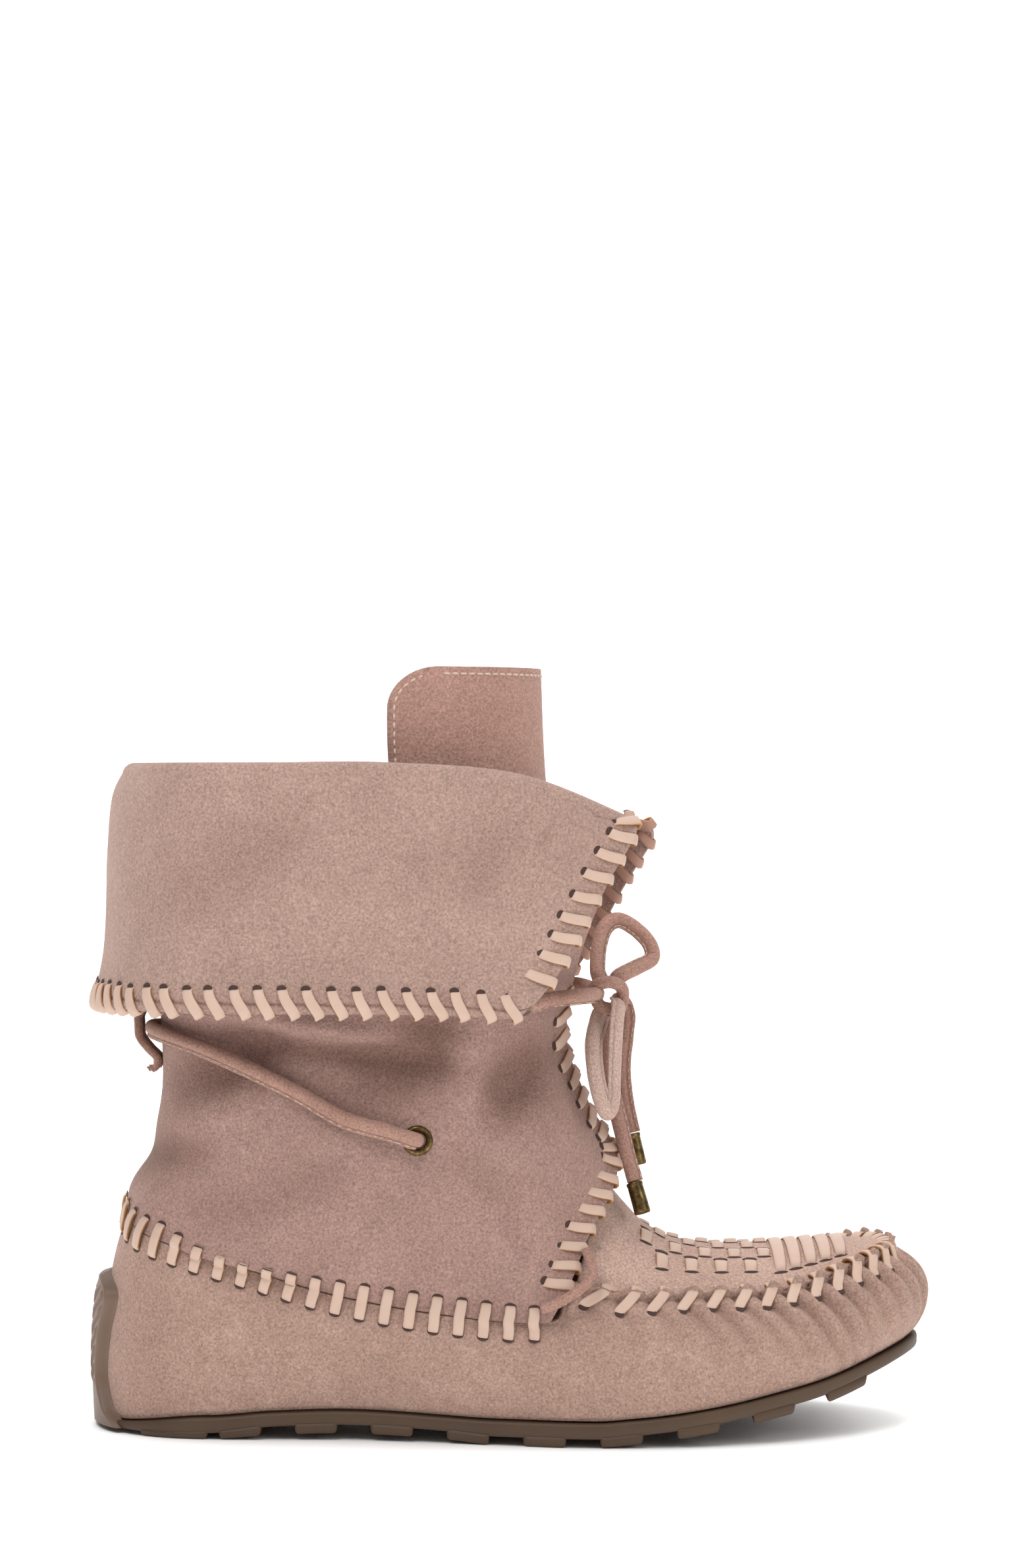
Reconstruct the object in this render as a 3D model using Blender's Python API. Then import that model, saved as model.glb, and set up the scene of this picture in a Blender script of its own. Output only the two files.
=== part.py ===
"""Right moccasin ankle boot in suede: gathered foot under a sewn-in apron, shaft with a fold-down cuff,
tall tongue, lace through a keeper and four eyelets, rubber driving sole.

Metres, +X to the toe, +Z up, -Y is the outer side. The origin is the middle of the heel's flat tread.
"""

import math

import bmesh
import bpy
from mathutils import Vector

# Foot and last. Heights are measured from the floor.
LENGTH = 0.262
BALL_WIDTH = 0.090
INSTEP_HEIGHT = 0.078
HEEL_OVERHANG = 0.030
TOE_SPRING = 0.0214

# Shaft, cuff and tongue
BOOT_HEIGHT = 0.2055
SHAFT_LENGTH = 0.140
SHAFT_WIDTH = 0.082
SHAFT_BACK = 0.022
CUFF_REACH = 0.0745
TONGUE_HEIGHT = 0.236
TONGUE_WIDTH = 0.066
TONGUE_CORNER = 0.013
FOLD_RADIUS = 0.002

# Leather and clearances
UPPER_WALL = 0.0017
SHAFT_WALL = 0.0016
CUFF_WALL = 0.0018
TONGUE_WALL = 0.0016
INSOLE_THICK = 0.0020
SEAM_BEAD = 0.0016
FIT = 0.0003
SOLE_SEAT = 0.0006
SHAFT_SEAT = 0.0007

# Sole
SOLE_STACK = 0.0074
LUG_DEPTH = 0.0027
LUG_PITCH = 0.0232
LUG_LENGTH = 0.0135
LUG_START = 0.0112
HEEL_BLOCK = 0.022
SOLE_MARGIN = 0.0020
COUNTER_THICK = 0.0034

# Lace and metal
LACE_DIAMETER = 0.0048
AGLET_DIAMETER = 0.0052
AGLET_LENGTH = 0.0100
EYELET_HOLE = 0.0050
EYELET_BARREL = 0.0060
EYELET_FLANGE = 0.0092
EYELET_LIP = 0.0006
EYELET_SEAT = 0.0007
KEEPER_WIDTH = 0.0100
KEEPER_WALL = 0.0014

# The foot in stations from the middle of the heel along the outer side to the toe and back along the
# inner side. Lengths are shares of LENGTH from the back of the heel, widths and bellies of half of
# BALL_WIDTH, heights of INSTEP_HEIGHT. The feather is the lower edge on the sole, the seam the upper
# edge; the bellies push the wall out near each, and rise is where the upper one acts.
STATION_COLUMNS = ("feather_length", "feather_width", "seam_length", "seam_width", "seam_height",
                   "low_belly", "high_belly", "rise")
STATIONS = (
    (0.013, 0.000, 0.040, 0.000, 0.846, 0.03, 0.15, 0.74),
    (0.036, -0.378, 0.059, -0.444, 0.795, 0.04, 0.10, 0.72),
    (0.099, -0.622, 0.115, -0.700, 0.737, 0.08, 0.06, 0.70),
    (0.198, -0.700, 0.198, -0.800, 0.660, 0.11, 0.05, 0.70),
    (0.313, -0.722, 0.305, -0.878, 0.564, 0.13, 0.06, 0.70),
    (0.439, -0.844, 0.435, -0.944, 0.495, 0.13, 0.08, 0.70),
    (0.542, -0.967, 0.546, -0.905, 0.474, 0.11, 0.12, 0.72),
    (0.580, -1.000, 0.571, -0.805, 0.580, 0.10, 0.21, 0.76),
    (0.626, -1.011, 0.615, -0.811, 0.555, 0.10, 0.22, 0.80),
    (0.687, -1.000, 0.672, -0.756, 0.547, 0.10, 0.25, 0.82),
    (0.756, -0.933, 0.737, -0.733, 0.554, 0.11, 0.23, 0.82),
    (0.821, -0.811, 0.802, -0.678, 0.559, 0.12, 0.21, 0.82),
    (0.878, -0.644, 0.859, -0.589, 0.594, 0.13, 0.20, 0.82),
    (0.927, -0.422, 0.905, -0.444, 0.645, 0.15, 0.21, 0.82),
    (0.964, -0.178, 0.939, -0.244, 0.674, 0.17, 0.26, 0.82),
    (0.979, 0.089, 0.956, 0.089, 0.682, 0.18, 0.29, 0.82),
    (0.966, 0.378, 0.941, 0.378, 0.686, 0.17, 0.27, 0.82),
    (0.927, 0.622, 0.908, 0.556, 0.667, 0.14, 0.24, 0.82),
    (0.874, 0.800, 0.863, 0.678, 0.635, 0.12, 0.22, 0.82),
    (0.813, 0.911, 0.802, 0.744, 0.609, 0.11, 0.23, 0.82),
    (0.748, 0.956, 0.737, 0.789, 0.596, 0.10, 0.23, 0.82),
    (0.687, 0.944, 0.672, 0.811, 0.590, 0.10, 0.22, 0.82),
    (0.626, 0.889, 0.615, 0.844, 0.603, 0.11, 0.19, 0.80),
    (0.580, 0.833, 0.571, 0.800, 0.620, 0.12, 0.17, 0.76),
    (0.542, 0.778, 0.546, 0.867, 0.526, 0.13, 0.11, 0.72),
    (0.439, 0.611, 0.435, 0.844, 0.538, 0.15, 0.10, 0.70),
    (0.313, 0.533, 0.305, 0.789, 0.603, 0.15, 0.09, 0.70),
    (0.198, 0.600, 0.198, 0.756, 0.679, 0.11, 0.06, 0.70),
    (0.099, 0.589, 0.115, 0.689, 0.744, 0.08, 0.06, 0.70),
    (0.036, 0.378, 0.059, 0.444, 0.795, 0.04, 0.10, 0.72),
)
SHAFT_STATION = 6
APRON_STATION = 7
TOE_STATION = 15
STATION_STEP = 0.5

# The apron's ridge line, from the throat to the toe: steps from the apron's rear corner, then the
# middle's place as a share of LENGTH, its height as a share of INSTEP_HEIGHT, and how full its arch is.
RIDGE_COLUMNS = ("step", "length", "height", "arch")
RIDGE = (
    (0.0, 0.608, 0.985, 1.5),
    (0.5, 0.633, 0.885, 1.7),
    (1.0, 0.660, 0.790, 2.0),
    (2.0, 0.699, 0.724, 2.2),
    (3.0, 0.750, 0.703, 2.2),
    (4.0, 0.809, 0.706, 2.2),
    (5.0, 0.863, 0.720, 2.2),
    (6.0, 0.909, 0.729, 2.2),
    (7.0, 0.939, 0.722, 2.2),
    (8.0, 0.956, 0.682, 2.2),
)

# The sole's edge: length as a share of LENGTH, the tread's lift off the floor as a share of TOE_SPRING,
# the rubber's height there as a share of SOLE_STACK, and how much of LUG_DEPTH the tread has.
SOLE_COLUMNS = ("length", "lift", "stack", "lug")
SOLE = (
    (0.000, 0.09, 0.30, 0.5),
    (0.045, 0.00, 0.50, 0.5),
    (0.145, 0.00, 0.90, 0.7),
    (0.221, 0.07, 0.92, 1.0),
    (0.305, 0.10, 0.92, 1.0),
    (0.427, 0.05, 0.92, 1.0),
    (0.477, 0.00, 1.00, 1.0),
    (0.595, 0.00, 1.00, 1.0),
    (0.641, 0.05, 0.97, 1.0),
    (0.691, 0.12, 0.95, 1.0),
    (0.744, 0.215, 0.95, 1.0),
    (0.805, 0.36, 0.95, 1.0),
    (0.863, 0.51, 0.95, 1.0),
    (0.931, 0.77, 0.95, 1.0),
    (0.969, 0.93, 0.92, 1.0),
    (1.000, 1.03, 0.90, 1.0),
)

# Half a ring of the shaft, from its front edge to the middle of the back: share of the ring's length
# and width, how far the front's height still acts, and how far the back's height does.
RING_COLUMNS = ("length", "width", "front_height", "back_height")
RING = (
    (1.00, 0.00, 1.00, 0.00),
    (0.78, 0.94, 0.21, 0.00),
    (0.52, 1.00, 0.00, 0.00),
    (0.31, 0.95, 0.00, 0.10),
    (0.147, 0.78, 0.00, 0.35),
    (0.040, 0.44, 0.00, 0.80),
    (0.00, 0.00, 0.00, 1.00),
)

# The shaft's rings from above the foot seam up to the fold. Heights are shares of BOOT_HEIGHT at the
# front edge, side and back; front and back are places along it, shares of SHAFT_LENGTH ahead of
# SHAFT_BACK behind the origin; widths are shares of half of SHAFT_WIDTH.
LEVEL_COLUMNS = ("front_height", "side_height", "back_height", "front", "back", "front_width", "width")
SHAFT_LEVELS = (
    (0.233, 0.252, 0.345, 1.002, 0.017, 0.965, 1.03),
    (0.297, 0.302, 0.370, 1.043, 0.026, 0.74, 1.01),
    (0.399, 0.404, 0.428, 1.114, 0.064, 0.42, 1.00),
    (0.487, 0.487, 0.491, 1.050, 0.088, 0.37, 0.95),
    (0.594, 0.594, 0.584, 1.000, 0.093, 0.42, 0.93),
    (0.730, 0.730, 0.720, 1.036, 0.079, 0.54, 1.05),
    (0.857, 0.871, 0.866, 1.107, 0.057, 0.66, 1.15),
    (0.905, 0.987, 0.987, 1.136, 0.046, 0.73, 1.18),
)

# The cuff's turned-down flap, from the fold to the hem, in shares of CUFF_REACH below BOOT_HEIGHT for
# the heights and as above for the rest. It is the face that looks at the shaft.
CUFF_LEVELS = (
    (0.295, 0.160, 0.140, 1.139, -0.006, 0.88, 1.30),
    (0.530, 0.370, 0.370, 1.064, -0.016, 1.02, 1.34),
    (0.765, 0.610, 0.610, 1.000, -0.020, 1.16, 1.365),
    (0.920, 0.810, 0.800, 0.945, -0.027, 1.26, 1.39),
    (1.020, 0.995, 0.995, 0.891, -0.048, 1.33, 1.42),
)
CUFF_LIP = 0.90

# The tongue's rows: height as a share of TONGUE_HEIGHT in the middle and at the wings' edges, the
# front's place and the wings' rear edge in shares of SHAFT_LENGTH ahead of SHAFT_BACK, width as a
# share of half of TONGUE_WIDTH.
TONGUE_COLUMNS = ("middle_height", "wing_height", "front", "wing", "width")
TONGUE = (
    (0.3285, 0.218, 1.084, 0.929, 0.93),
    (0.424, 0.400, 1.036, 0.843, 0.82),
    (0.530, 0.530, 0.979, 0.764, 0.84),
    (0.636, 0.636, 0.971, 0.693, 0.94),
    (0.763, 0.763, 0.964, 0.629, 1.00),
    (0.890, 0.890, 0.950, 0.607, 1.00),
    (1.000, 1.000, 0.943, 0.607, 0.97),
)

# The rubber counter on the heel: height as a share of INSTEP_HEIGHT, half its span in stations.
COUNTER_COLUMNS = ("height", "span")
COUNTER = (
    (0.020, 1.25),
    (0.090, 0.85),
    (0.230, 0.58),
    (0.380, 0.66),
    (0.520, 0.80),
    (0.590, 0.62),
    (0.620, 0.34),
)

# Eyelets: ring place in half-ring steps from the front edge, height as a share of BOOT_HEIGHT
BACK_EYELET = (1.72, 0.448)
FRONT_EYELET = (0.72, 0.650)

# How a cord leaves an eyelet: distance along the leather and height above it
EYELET_ARC = ((0.0, 0.0021), (0.0003, 0.0037), (0.0022, 0.0056), (0.0058, 0.0059), (0.0105, 0.0046))

# The lace's route on the shaft from the rear eyelet to the keeper: ring place, share of BOOT_HEIGHT
BACK_RUN = ((2.36, 0.482), (2.80, 0.518), (3.40, 0.554), (4.00, 0.580), (4.60, 0.594), (5.30, 0.602),
            (6.00, 0.604))
KEEPER_HEIGHT = 0.604
KEEPER_RISE = 0.0105

# The bow, with the knot in front of the tongue
KNOT = (0.1305, -0.0040, 0.1335)
KNOT_RADII = (0.0049, 0.0057, 0.0049)
NEAR_STRAND = ((0.1200, -0.0290, 0.1352), (0.1258, -0.0200, 0.1352), (0.1266, -0.0135, 0.1349),
               (0.1277, -0.0094, 0.1344))
FAR_STRAND = ((0.1205, 0.0275, 0.1358), (0.1258, 0.0150, 0.1354), (0.1267, 0.0060, 0.1346),
              (0.1280, 0.0016, 0.1341))
NEAR_LOOP = ((0.1285, -0.0066, 0.1288), (0.1276, -0.0077, 0.1267), (0.1250, -0.0148, 0.1195),
             (0.1252, -0.0195, 0.1100), (0.1272, -0.0208, 0.1022), (0.1300, -0.0204, 0.0985),
             (0.1330, -0.0190, 0.1015), (0.1350, -0.0172, 0.1090), (0.1360, -0.0156, 0.1180),
             (0.1358, -0.0134, 0.1268), (0.1348, -0.0108, 0.1307), (0.1335, -0.0088, 0.1315))
FAR_LOOP = ((0.1339, -0.0034, 0.1379), (0.1354, -0.0031, 0.1399), (0.1410, 0.0020, 0.1424),
            (0.1455, 0.0065, 0.1448), (0.1448, 0.0095, 0.1495), (0.1400, 0.0115, 0.1545),
            (0.1345, 0.0110, 0.1572), (0.1302, 0.0085, 0.1550), (0.1280, 0.0045, 0.1490),
            (0.1274, 0.0005, 0.1430), (0.1276, -0.0011, 0.1406), (0.1285, -0.0020, 0.1384))
NEAR_END = ((0.1316, -0.0026, 0.1282), (0.1320, -0.0022, 0.1258), (0.1306, -0.0044, 0.1170),
            (0.1314, -0.0060, 0.1060), (0.1340, -0.0080, 0.0950), (0.1364, -0.0100, 0.0850),
            (0.1388, -0.0120, 0.0765))
FAR_END = ((0.1341, 0.0005, 0.1318), (0.1356, 0.0024, 0.1311), (0.1370, 0.0034, 0.1270),
           (0.1364, 0.0028, 0.1200), (0.1354, 0.0020, 0.1110), (0.1362, 0.0008, 0.1010),
           (0.1385, 0.0000, 0.0905))


for item in list(bpy.data.objects):
    bpy.data.objects.remove(item, do_unlink=True)


def material(name, colour, roughness, metallic=0.0):
    """A Principled finish for one kind of material."""
    made = bpy.data.materials.new(name)
    made.use_nodes = True
    shader = made.node_tree.nodes["Principled BSDF"]
    shader.inputs["Base Color"].default_value = (*colour, 1.0)
    shader.inputs["Roughness"].default_value = roughness
    shader.inputs["Metallic"].default_value = metallic
    return made


SUEDE = (0.42, 0.29, 0.25)


def fore(share):
    """A place along the boot from its share of the length."""
    return LENGTH * share - HEEL_OVERHANG


def blend(a, b, share):
    return a + (b - a) * share


def spline(rows, at, closed=False):
    """Every column of a table of evenly stepped rows, read at a fractional row."""
    count = len(rows)
    low = math.floor(at)
    if not closed:
        low = min(max(low, 0), count - 2)
    t = at - low
    picked = []
    for k in range(-1, 3):
        place = (low + k) % count if closed else min(max(low + k, 0), count - 1)
        picked.append(rows[place])
    a = -0.5 * t + t * t - 0.5 * t ** 3
    b = 1.0 - 2.5 * t * t + 1.5 * t ** 3
    c = 0.5 * t + 2.0 * t * t - 1.5 * t ** 3
    d = 0.5 * (t ** 3 - t * t)
    return tuple(a * p + b * q + c * r + d * s for p, q, r, s in zip(*picked))


def read(table, columns, name, at):
    """One column against the first, as a curve that never overshoots between its rows."""
    column = columns.index(name)
    xs = [row[0] for row in table]
    ys = [row[column] for row in table]
    if at <= xs[0]:
        return ys[0]
    if at >= xs[-1]:
        return ys[-1]
    i = max(k for k in range(len(xs) - 1) if xs[k] <= at)
    slopes = [(ys[k + 1] - ys[k]) / (xs[k + 1] - xs[k]) for k in range(len(xs) - 1)]

    def tangent(k):
        if k == 0 or k == len(xs) - 1:
            return slopes[min(k, len(slopes) - 1)]
        before, after = slopes[k - 1], slopes[k]
        return 0.0 if before * after <= 0 else 2 * before * after / (before + after)

    step = xs[i + 1] - xs[i]
    t = (at - xs[i]) / step
    return (ys[i] * (1 + 2 * t) * (1 - t) ** 2 + ys[i + 1] * t * t * (3 - 2 * t)
            + step * (tangent(i) * t * (1 - t) ** 2 - tangent(i + 1) * t * t * (1 - t)))


# The foot
def tread_height(x):
    return TOE_SPRING * read(SOLE, SOLE_COLUMNS, "lift", (x + HEEL_OVERHANG) / LENGTH)


def lug_depth(x):
    return LUG_DEPTH * read(SOLE, SOLE_COLUMNS, "lug", (x + HEEL_OVERHANG) / LENGTH)


def sole_line(x):
    """Height of the rubber's upper edge at a place along the boot."""
    return tread_height(x) + SOLE_STACK * read(SOLE, SOLE_COLUMNS, "stack", (x + HEEL_OVERHANG) / LENGTH)


def station(at):
    """The foot's station as a record of named columns."""
    return dict(zip(STATION_COLUMNS, spline(STATIONS, at, closed=True)))


def feather(at):
    """A point on the foot's lower edge."""
    row = station(at)
    x = fore(row["feather_length"])
    return Vector((x, BALL_WIDTH / 2 * row["feather_width"], sole_line(x) + SOLE_SEAT))


def outward(at):
    """Level direction away from the foot at a station."""
    along = feather(at + 0.2) - feather(at - 0.2)
    return Vector((along.y, -along.x, 0)).normalized() * (1 if STATIONS[1][1] < 0 else -1)


def seam(at):
    """A point on the foot's upper edge: the shaft seam and, round the toe, the apron seam."""
    row = station(at)
    return Vector((fore(row["seam_length"]), BALL_WIDTH / 2 * row["seam_width"],
                   INSTEP_HEIGHT * row["seam_height"]))


def foot_wall(at, share):
    """A point on the outside of the foot's wrap, from the feather (0) to the seam (1)."""
    row = station(at)
    low, top, out = feather(at), seam(at), outward(at)
    rise = top.z - low.z
    near_low = low + out * BALL_WIDTH / 2 * row["low_belly"] + Vector((0, 0, rise * 0.38))
    near_top = top + out * BALL_WIDTH / 2 * row["high_belly"]
    near_top.z = low.z + rise * row["rise"]
    back = 1 - share
    return low * back ** 3 + near_low * 3 * back * back * share + near_top * 3 * back * share ** 2 + top * share ** 3


def apron(step, share):
    """A point on the apron, a step from its rear corners and a share of the way from outer to inner side."""
    near, far = seam(APRON_STATION + step), seam(2 * TOE_STATION - APRON_STATION - step)
    middle = Vector((fore(read(RIDGE, RIDGE_COLUMNS, "length", step)), (near.y + far.y) / 2,
                     INSTEP_HEIGHT * read(RIDGE, RIDGE_COLUMNS, "height", step)))
    crown = 1 - abs(2 * share - 1) ** read(RIDGE, RIDGE_COLUMNS, "arch", step)
    return near.lerp(far, share) + (middle - (near + far) / 2) * crown


def is_apron_seam(at):
    return APRON_STATION - 0.01 <= at <= 2 * TOE_STATION - APRON_STATION + 0.01


# Sheets and solids
def grow_rows(mesh, rows, closed=False):
    """Lay the first row of points and extrude it to each next row."""
    line = [mesh.verts.new(point) for point in rows[0]]
    count = len(line)
    pairs = [(i, (i + 1) % count) for i in range(count if closed else count - 1)]
    edges = [mesh.edges.new((line[i], line[j])) for i, j in pairs]
    for row in rows[1:]:
        grown = bmesh.ops.extrude_edge_only(mesh, edges=edges)["geom"]
        fresh = {item for item in grown if isinstance(item, bmesh.types.BMVert)}
        line = [next(edge.other_vert(vert) for edge in vert.link_edges if edge.other_vert(vert) in fresh)
                for vert in line]
        for vert, point in zip(line, row):
            vert.co = point
        edges = [mesh.edges.get((line[i], line[j])) for i, j in pairs]
    return line


def face_away(mesh):
    """Turn an open sheet so that its faces look away from its middle."""
    bmesh.ops.recalc_face_normals(mesh, faces=mesh.faces)
    middle = sum((vert.co for vert in mesh.verts), Vector()) / len(mesh.verts)
    side = sum(face.normal.dot(face.calc_center_median() - middle) * face.calc_area() for face in mesh.faces)
    if side < 0:
        bmesh.ops.reverse_faces(mesh, faces=mesh.faces)


def add_object(name, mesh, finish):
    data = bpy.data.meshes.new(name)
    mesh.to_mesh(data)
    mesh.free()
    data.materials.append(finish)
    data.shade_smooth()
    made = bpy.data.objects.new(name, data)
    bpy.context.scene.collection.objects.link(made)
    return made


def thicken(made, wall, side):
    """Give a sheet its leather's thickness, on the inside (-1) or the outside (1)."""
    solid = made.modifiers.new("wall", "SOLIDIFY")
    solid.thickness = wall
    solid.offset = side
    return solid


def cut(made, cutter, operation="DIFFERENCE"):
    cutter.hide_render = True
    cutter.display_type = "WIRE"
    boolean = made.modifiers.new(cutter.name, "BOOLEAN")
    boolean.operation = operation
    boolean.object = cutter
    boolean.solver = "EXACT"


# Upper: the wrap round the foot and the apron sewn into it, one wall with the seam raised
def make_upper():
    mesh = bmesh.new()
    places = [k * STATION_STEP for k in range(int(len(STATIONS) / STATION_STEP))]
    shares = (0.0, 0.14, 0.29, 0.44, 0.58, 0.71, 0.83, 0.93, 1.0)
    rows = []
    for share in shares:
        row = []
        for at in places:
            point = foot_wall(at, share)
            if share == 1.0 and is_apron_seam(at):
                point = point + (outward(at) * 0.5 + Vector((0, 0, 0.87))) * SEAM_BEAD
            row.append(point)
        rows.append(row)
    grow_rows(mesh, rows, closed=True)
    steps = [k * STATION_STEP for k in range(int((TOE_STATION - APRON_STATION) / STATION_STEP) + 1)]
    across = (0.0, 0.07, 0.2, 0.35, 0.5, 0.65, 0.8, 0.93, 1.0)
    rows = []
    for step in steps:
        row = [apron(step, share) for share in across]
        for end, at in ((0, APRON_STATION + step), (-1, 2 * TOE_STATION - APRON_STATION - step)):
            row[end] = foot_wall(at, 1.0) + (outward(at) * 0.5 + Vector((0, 0, 0.87))) * SEAM_BEAD
        rows.append(row)
    grow_rows(mesh, rows)
    bmesh.ops.remove_doubles(mesh, verts=mesh.verts, dist=0.00002)
    face_away(mesh)
    upper = add_object("upper", mesh, material("suede_upper", SUEDE, 0.95))
    thicken(upper, UPPER_WALL, -1)
    return upper


# Sole: a slab with toe spring, transverse lugs in three blocks, and the counter up the heel
def outline(at, margin):
    """A point on the foot's outline in plan, grown by a margin."""
    point = feather(at) + outward(at) * margin
    return Vector((point.x, point.y, 0))


def edge_at(x, margin, inner):
    """The outline's place across at a place along the boot, on the outer or the inner side."""
    count = 30 * TOE_STATION
    last = None
    for k in range(count + 1):
        at = TOE_STATION * k / count
        point = outline(-at if inner else at, margin)
        if last is not None and last.x <= x <= point.x:
            return blend(last.y, point.y, (x - last.x) / max(point.x - last.x, 1e-9))
        last = point
    return last.y


def plate_rows(margin, places, shares, ends):
    """Rows of points in plan across the foot, with the first and the last following the outline."""
    rows = [[outline(blend(ends[0], -ends[0], share), margin) for share in shares]]
    last = [outline(blend(TOE_STATION - ends[1], TOE_STATION + ends[1], share), margin) for share in shares]
    room = SOLE_MARGIN
    for x in places:
        if not max(point.x for point in rows[0]) + room < x < min(point.x for point in last) - room:
            continue
        near, far = edge_at(x, margin, False), edge_at(x, margin, True)
        rows.append([Vector((x, blend(near, far, share), 0)) for share in shares])
    rows.append(last)
    return rows


def make_plate(name, rows, bottom, top, finish):
    """A slab over a plan grid, its two faces following heights along the boot."""
    mesh = bmesh.new()
    grow_rows(mesh, [[Vector((p.x, p.y, bottom(p.x))) for p in row] for row in rows])
    faces = list(mesh.faces)
    grown = bmesh.ops.extrude_face_region(mesh, geom=faces)["geom"]
    for item in grown:
        if isinstance(item, bmesh.types.BMVert):
            item.co.z = top(item.co.x)
    bmesh.ops.recalc_face_normals(mesh, faces=mesh.faces)
    return mesh, name, finish


def lug_spans():
    """Where each cross row of lugs begins and ends along the boot, the heel block first."""
    spans = [(-HEEL_BLOCK * 0.62, HEEL_BLOCK * 0.38)]
    start = LUG_START
    while start + LUG_LENGTH < LENGTH - HEEL_OVERHANG - LUG_LENGTH * 0.6:
        spans.append((start, start + LUG_LENGTH))
        start += LUG_PITCH
    return spans


def sole_places():
    """Where the sole's cross rows lie: each lug's two ends, and closer ones at the heel and the toe."""
    places = {x for span in lug_spans() for x in span}
    places |= {-HEEL_OVERHANG * 0.72, LENGTH - HEEL_OVERHANG - LUG_LENGTH, LENGTH - HEEL_OVERHANG - LUG_LENGTH * 0.6}
    return sorted(places)


def make_sole():
    shares = (0.0, 0.30, 0.35, 0.65, 0.70, 1.0)
    spans = lug_spans()
    places = sole_places()
    rows = plate_rows(SOLE_MARGIN, places, shares, (0.70, 0.80))
    mesh, name, finish = make_plate("outsole", rows, lambda x: tread_height(x) + lug_depth(x), sole_line,
                                    material("brown_rubber", (0.11, 0.07, 0.05), 0.6))
    blocks = []
    for face in list(mesh.faces):
        middle = face.calc_center_median()
        if face.normal.z > -0.5:
            continue
        in_span = any(start < middle.x < end for start, end in spans)
        row_width = sum(edge.calc_length() for edge in face.edges if abs(edge.verts[0].co.x - edge.verts[1].co.x) < 1e-6)
        if in_span and row_width > BALL_WIDTH * 0.2:
            blocks.append(face)
    for face in blocks:
        block = bmesh.ops.extrude_discrete_faces(mesh, faces=[face])["faces"][0]
        middle = block.calc_center_median()
        for vert in block.verts:
            vert.co.x = middle.x + (vert.co.x - middle.x) * 0.94
            vert.co.y = middle.y + (vert.co.y - middle.y) * 0.96
            vert.co.z = tread_height(vert.co.x)
    sole = add_object(name, mesh, finish)
    counter = bmesh.new()
    rows = []
    for height, span in COUNTER:
        row = []
        for k in range(-5, 6):
            at = span * k / 5
            share = counter_share(at, INSTEP_HEIGHT * height)
            row.append(foot_wall(at, share) + outward(at) * SOLE_SEAT)
        rows.append(row)
    grow_rows(counter, rows)
    face_away(counter)
    wrap = add_object("counter_wrap", counter, sole.data.materials[0])
    thicken(wrap, COUNTER_THICK, 1)
    cut(sole, wrap, "UNION")
    return sole


def counter_share(at, height):
    """How far up the wrap's wall a height lies; below the feather it runs on downwards."""
    low, high = -0.2, 1.0
    for _ in range(24):
        middle = (low + high) / 2
        if foot_wall(at, middle).z < height:
            low = middle
        else:
            high = middle
    return (low + high) / 2


def make_insole():
    margin = -(UPPER_WALL + 2 * FIT + 0.0006)
    stand = 2 * FIT
    rows = plate_rows(margin, sole_places(), (0.0, 0.25, 0.5, 0.75, 1.0), (0.70, 0.80))
    mesh, name, finish = make_plate("insole", rows, lambda x: sole_line(x) + stand,
                                    lambda x: sole_line(x) + stand + INSOLE_THICK,
                                    material("insole_leather", (0.45, 0.31, 0.22), 0.8))
    return add_object(name, mesh, finish)


# Shaft and cuff: one folded sheet of suede, cut at the fold
def ring_point(level, at, height_of):
    """A point of one ring; at runs from the outer front edge (0) round the back (6) to the inner one (12)."""
    row = dict(zip(LEVEL_COLUMNS, level))
    inner = at > 6
    place = 12 - at if inner else at
    back = SHAFT_LENGTH * row["back"] - SHAFT_BACK
    front = SHAFT_LENGTH * row["front"] - SHAFT_BACK
    wide = SHAFT_WIDTH / 2 * row["width"]
    edge = SHAFT_WIDTH / 2 * row["front_width"]
    points = []
    for k, shape in enumerate(RING):
        length, width, near_front, near_back = shape
        y = edge if k == 0 else max(wide * width, 0.0)
        z = (height_of(row["side_height"]) * (1 - near_front - near_back)
             + height_of(row["front_height"]) * near_front + height_of(row["back_height"]) * near_back)
        points.append((blend(back, front, length), -y, z))
    mirrored = [(x, -y, z) for x, y, z in reversed(points[:-1])]
    x, y, z = spline(points + mirrored, place)
    return Vector((x, -y if inner else y, z))


def shaft_foot(at):
    """The shaft's lower edge: butted on the foot's upper edge, its front corners lapped over it."""
    lap = max(0.0, 1 - min(at, 12 - at)) * (SHAFT_WALL + SHAFT_SEAT)
    return seam(SHAFT_STATION - at) + outward(SHAFT_STATION - at) * lap + Vector((0, 0, SHAFT_SEAT))


def on_shaft(at, height):
    """A point on the shaft's outer face at a ring place and a height."""
    rings = [shaft_foot(at)] + [ring_point(level, at, lambda share: BOOT_HEIGHT * share)
                                          for level in SHAFT_LEVELS]
    heights = [point.z for point in rings]
    low, high = 0.0, len(rings) - 1.0
    for _ in range(30):
        middle = (low + high) / 2
        if spline(heights_as_rows(heights), middle)[0] < height:
            low = middle
        else:
            high = middle
    return Vector(spline([tuple(point) for point in rings], (low + high) / 2))


def heights_as_rows(heights):
    return [(height,) for height in heights]


def shaft_normal(at, height):
    """Direction straight out of the shaft's face."""
    along = on_shaft(at + 0.1, height) - on_shaft(at - 0.1, height)
    rise = on_shaft(at, height + 0.002) - on_shaft(at, height - 0.002)
    normal = rise.cross(along).normalized()
    away = on_shaft(at, height) - Vector((0.055, 0, height))
    return normal if normal.dot(away) > 0 else -normal


SHEET_PLACES = [k / 3 for k in range(37)]
SHAFT_ROWS = 12
FLAP_ROWS = 8


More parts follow.
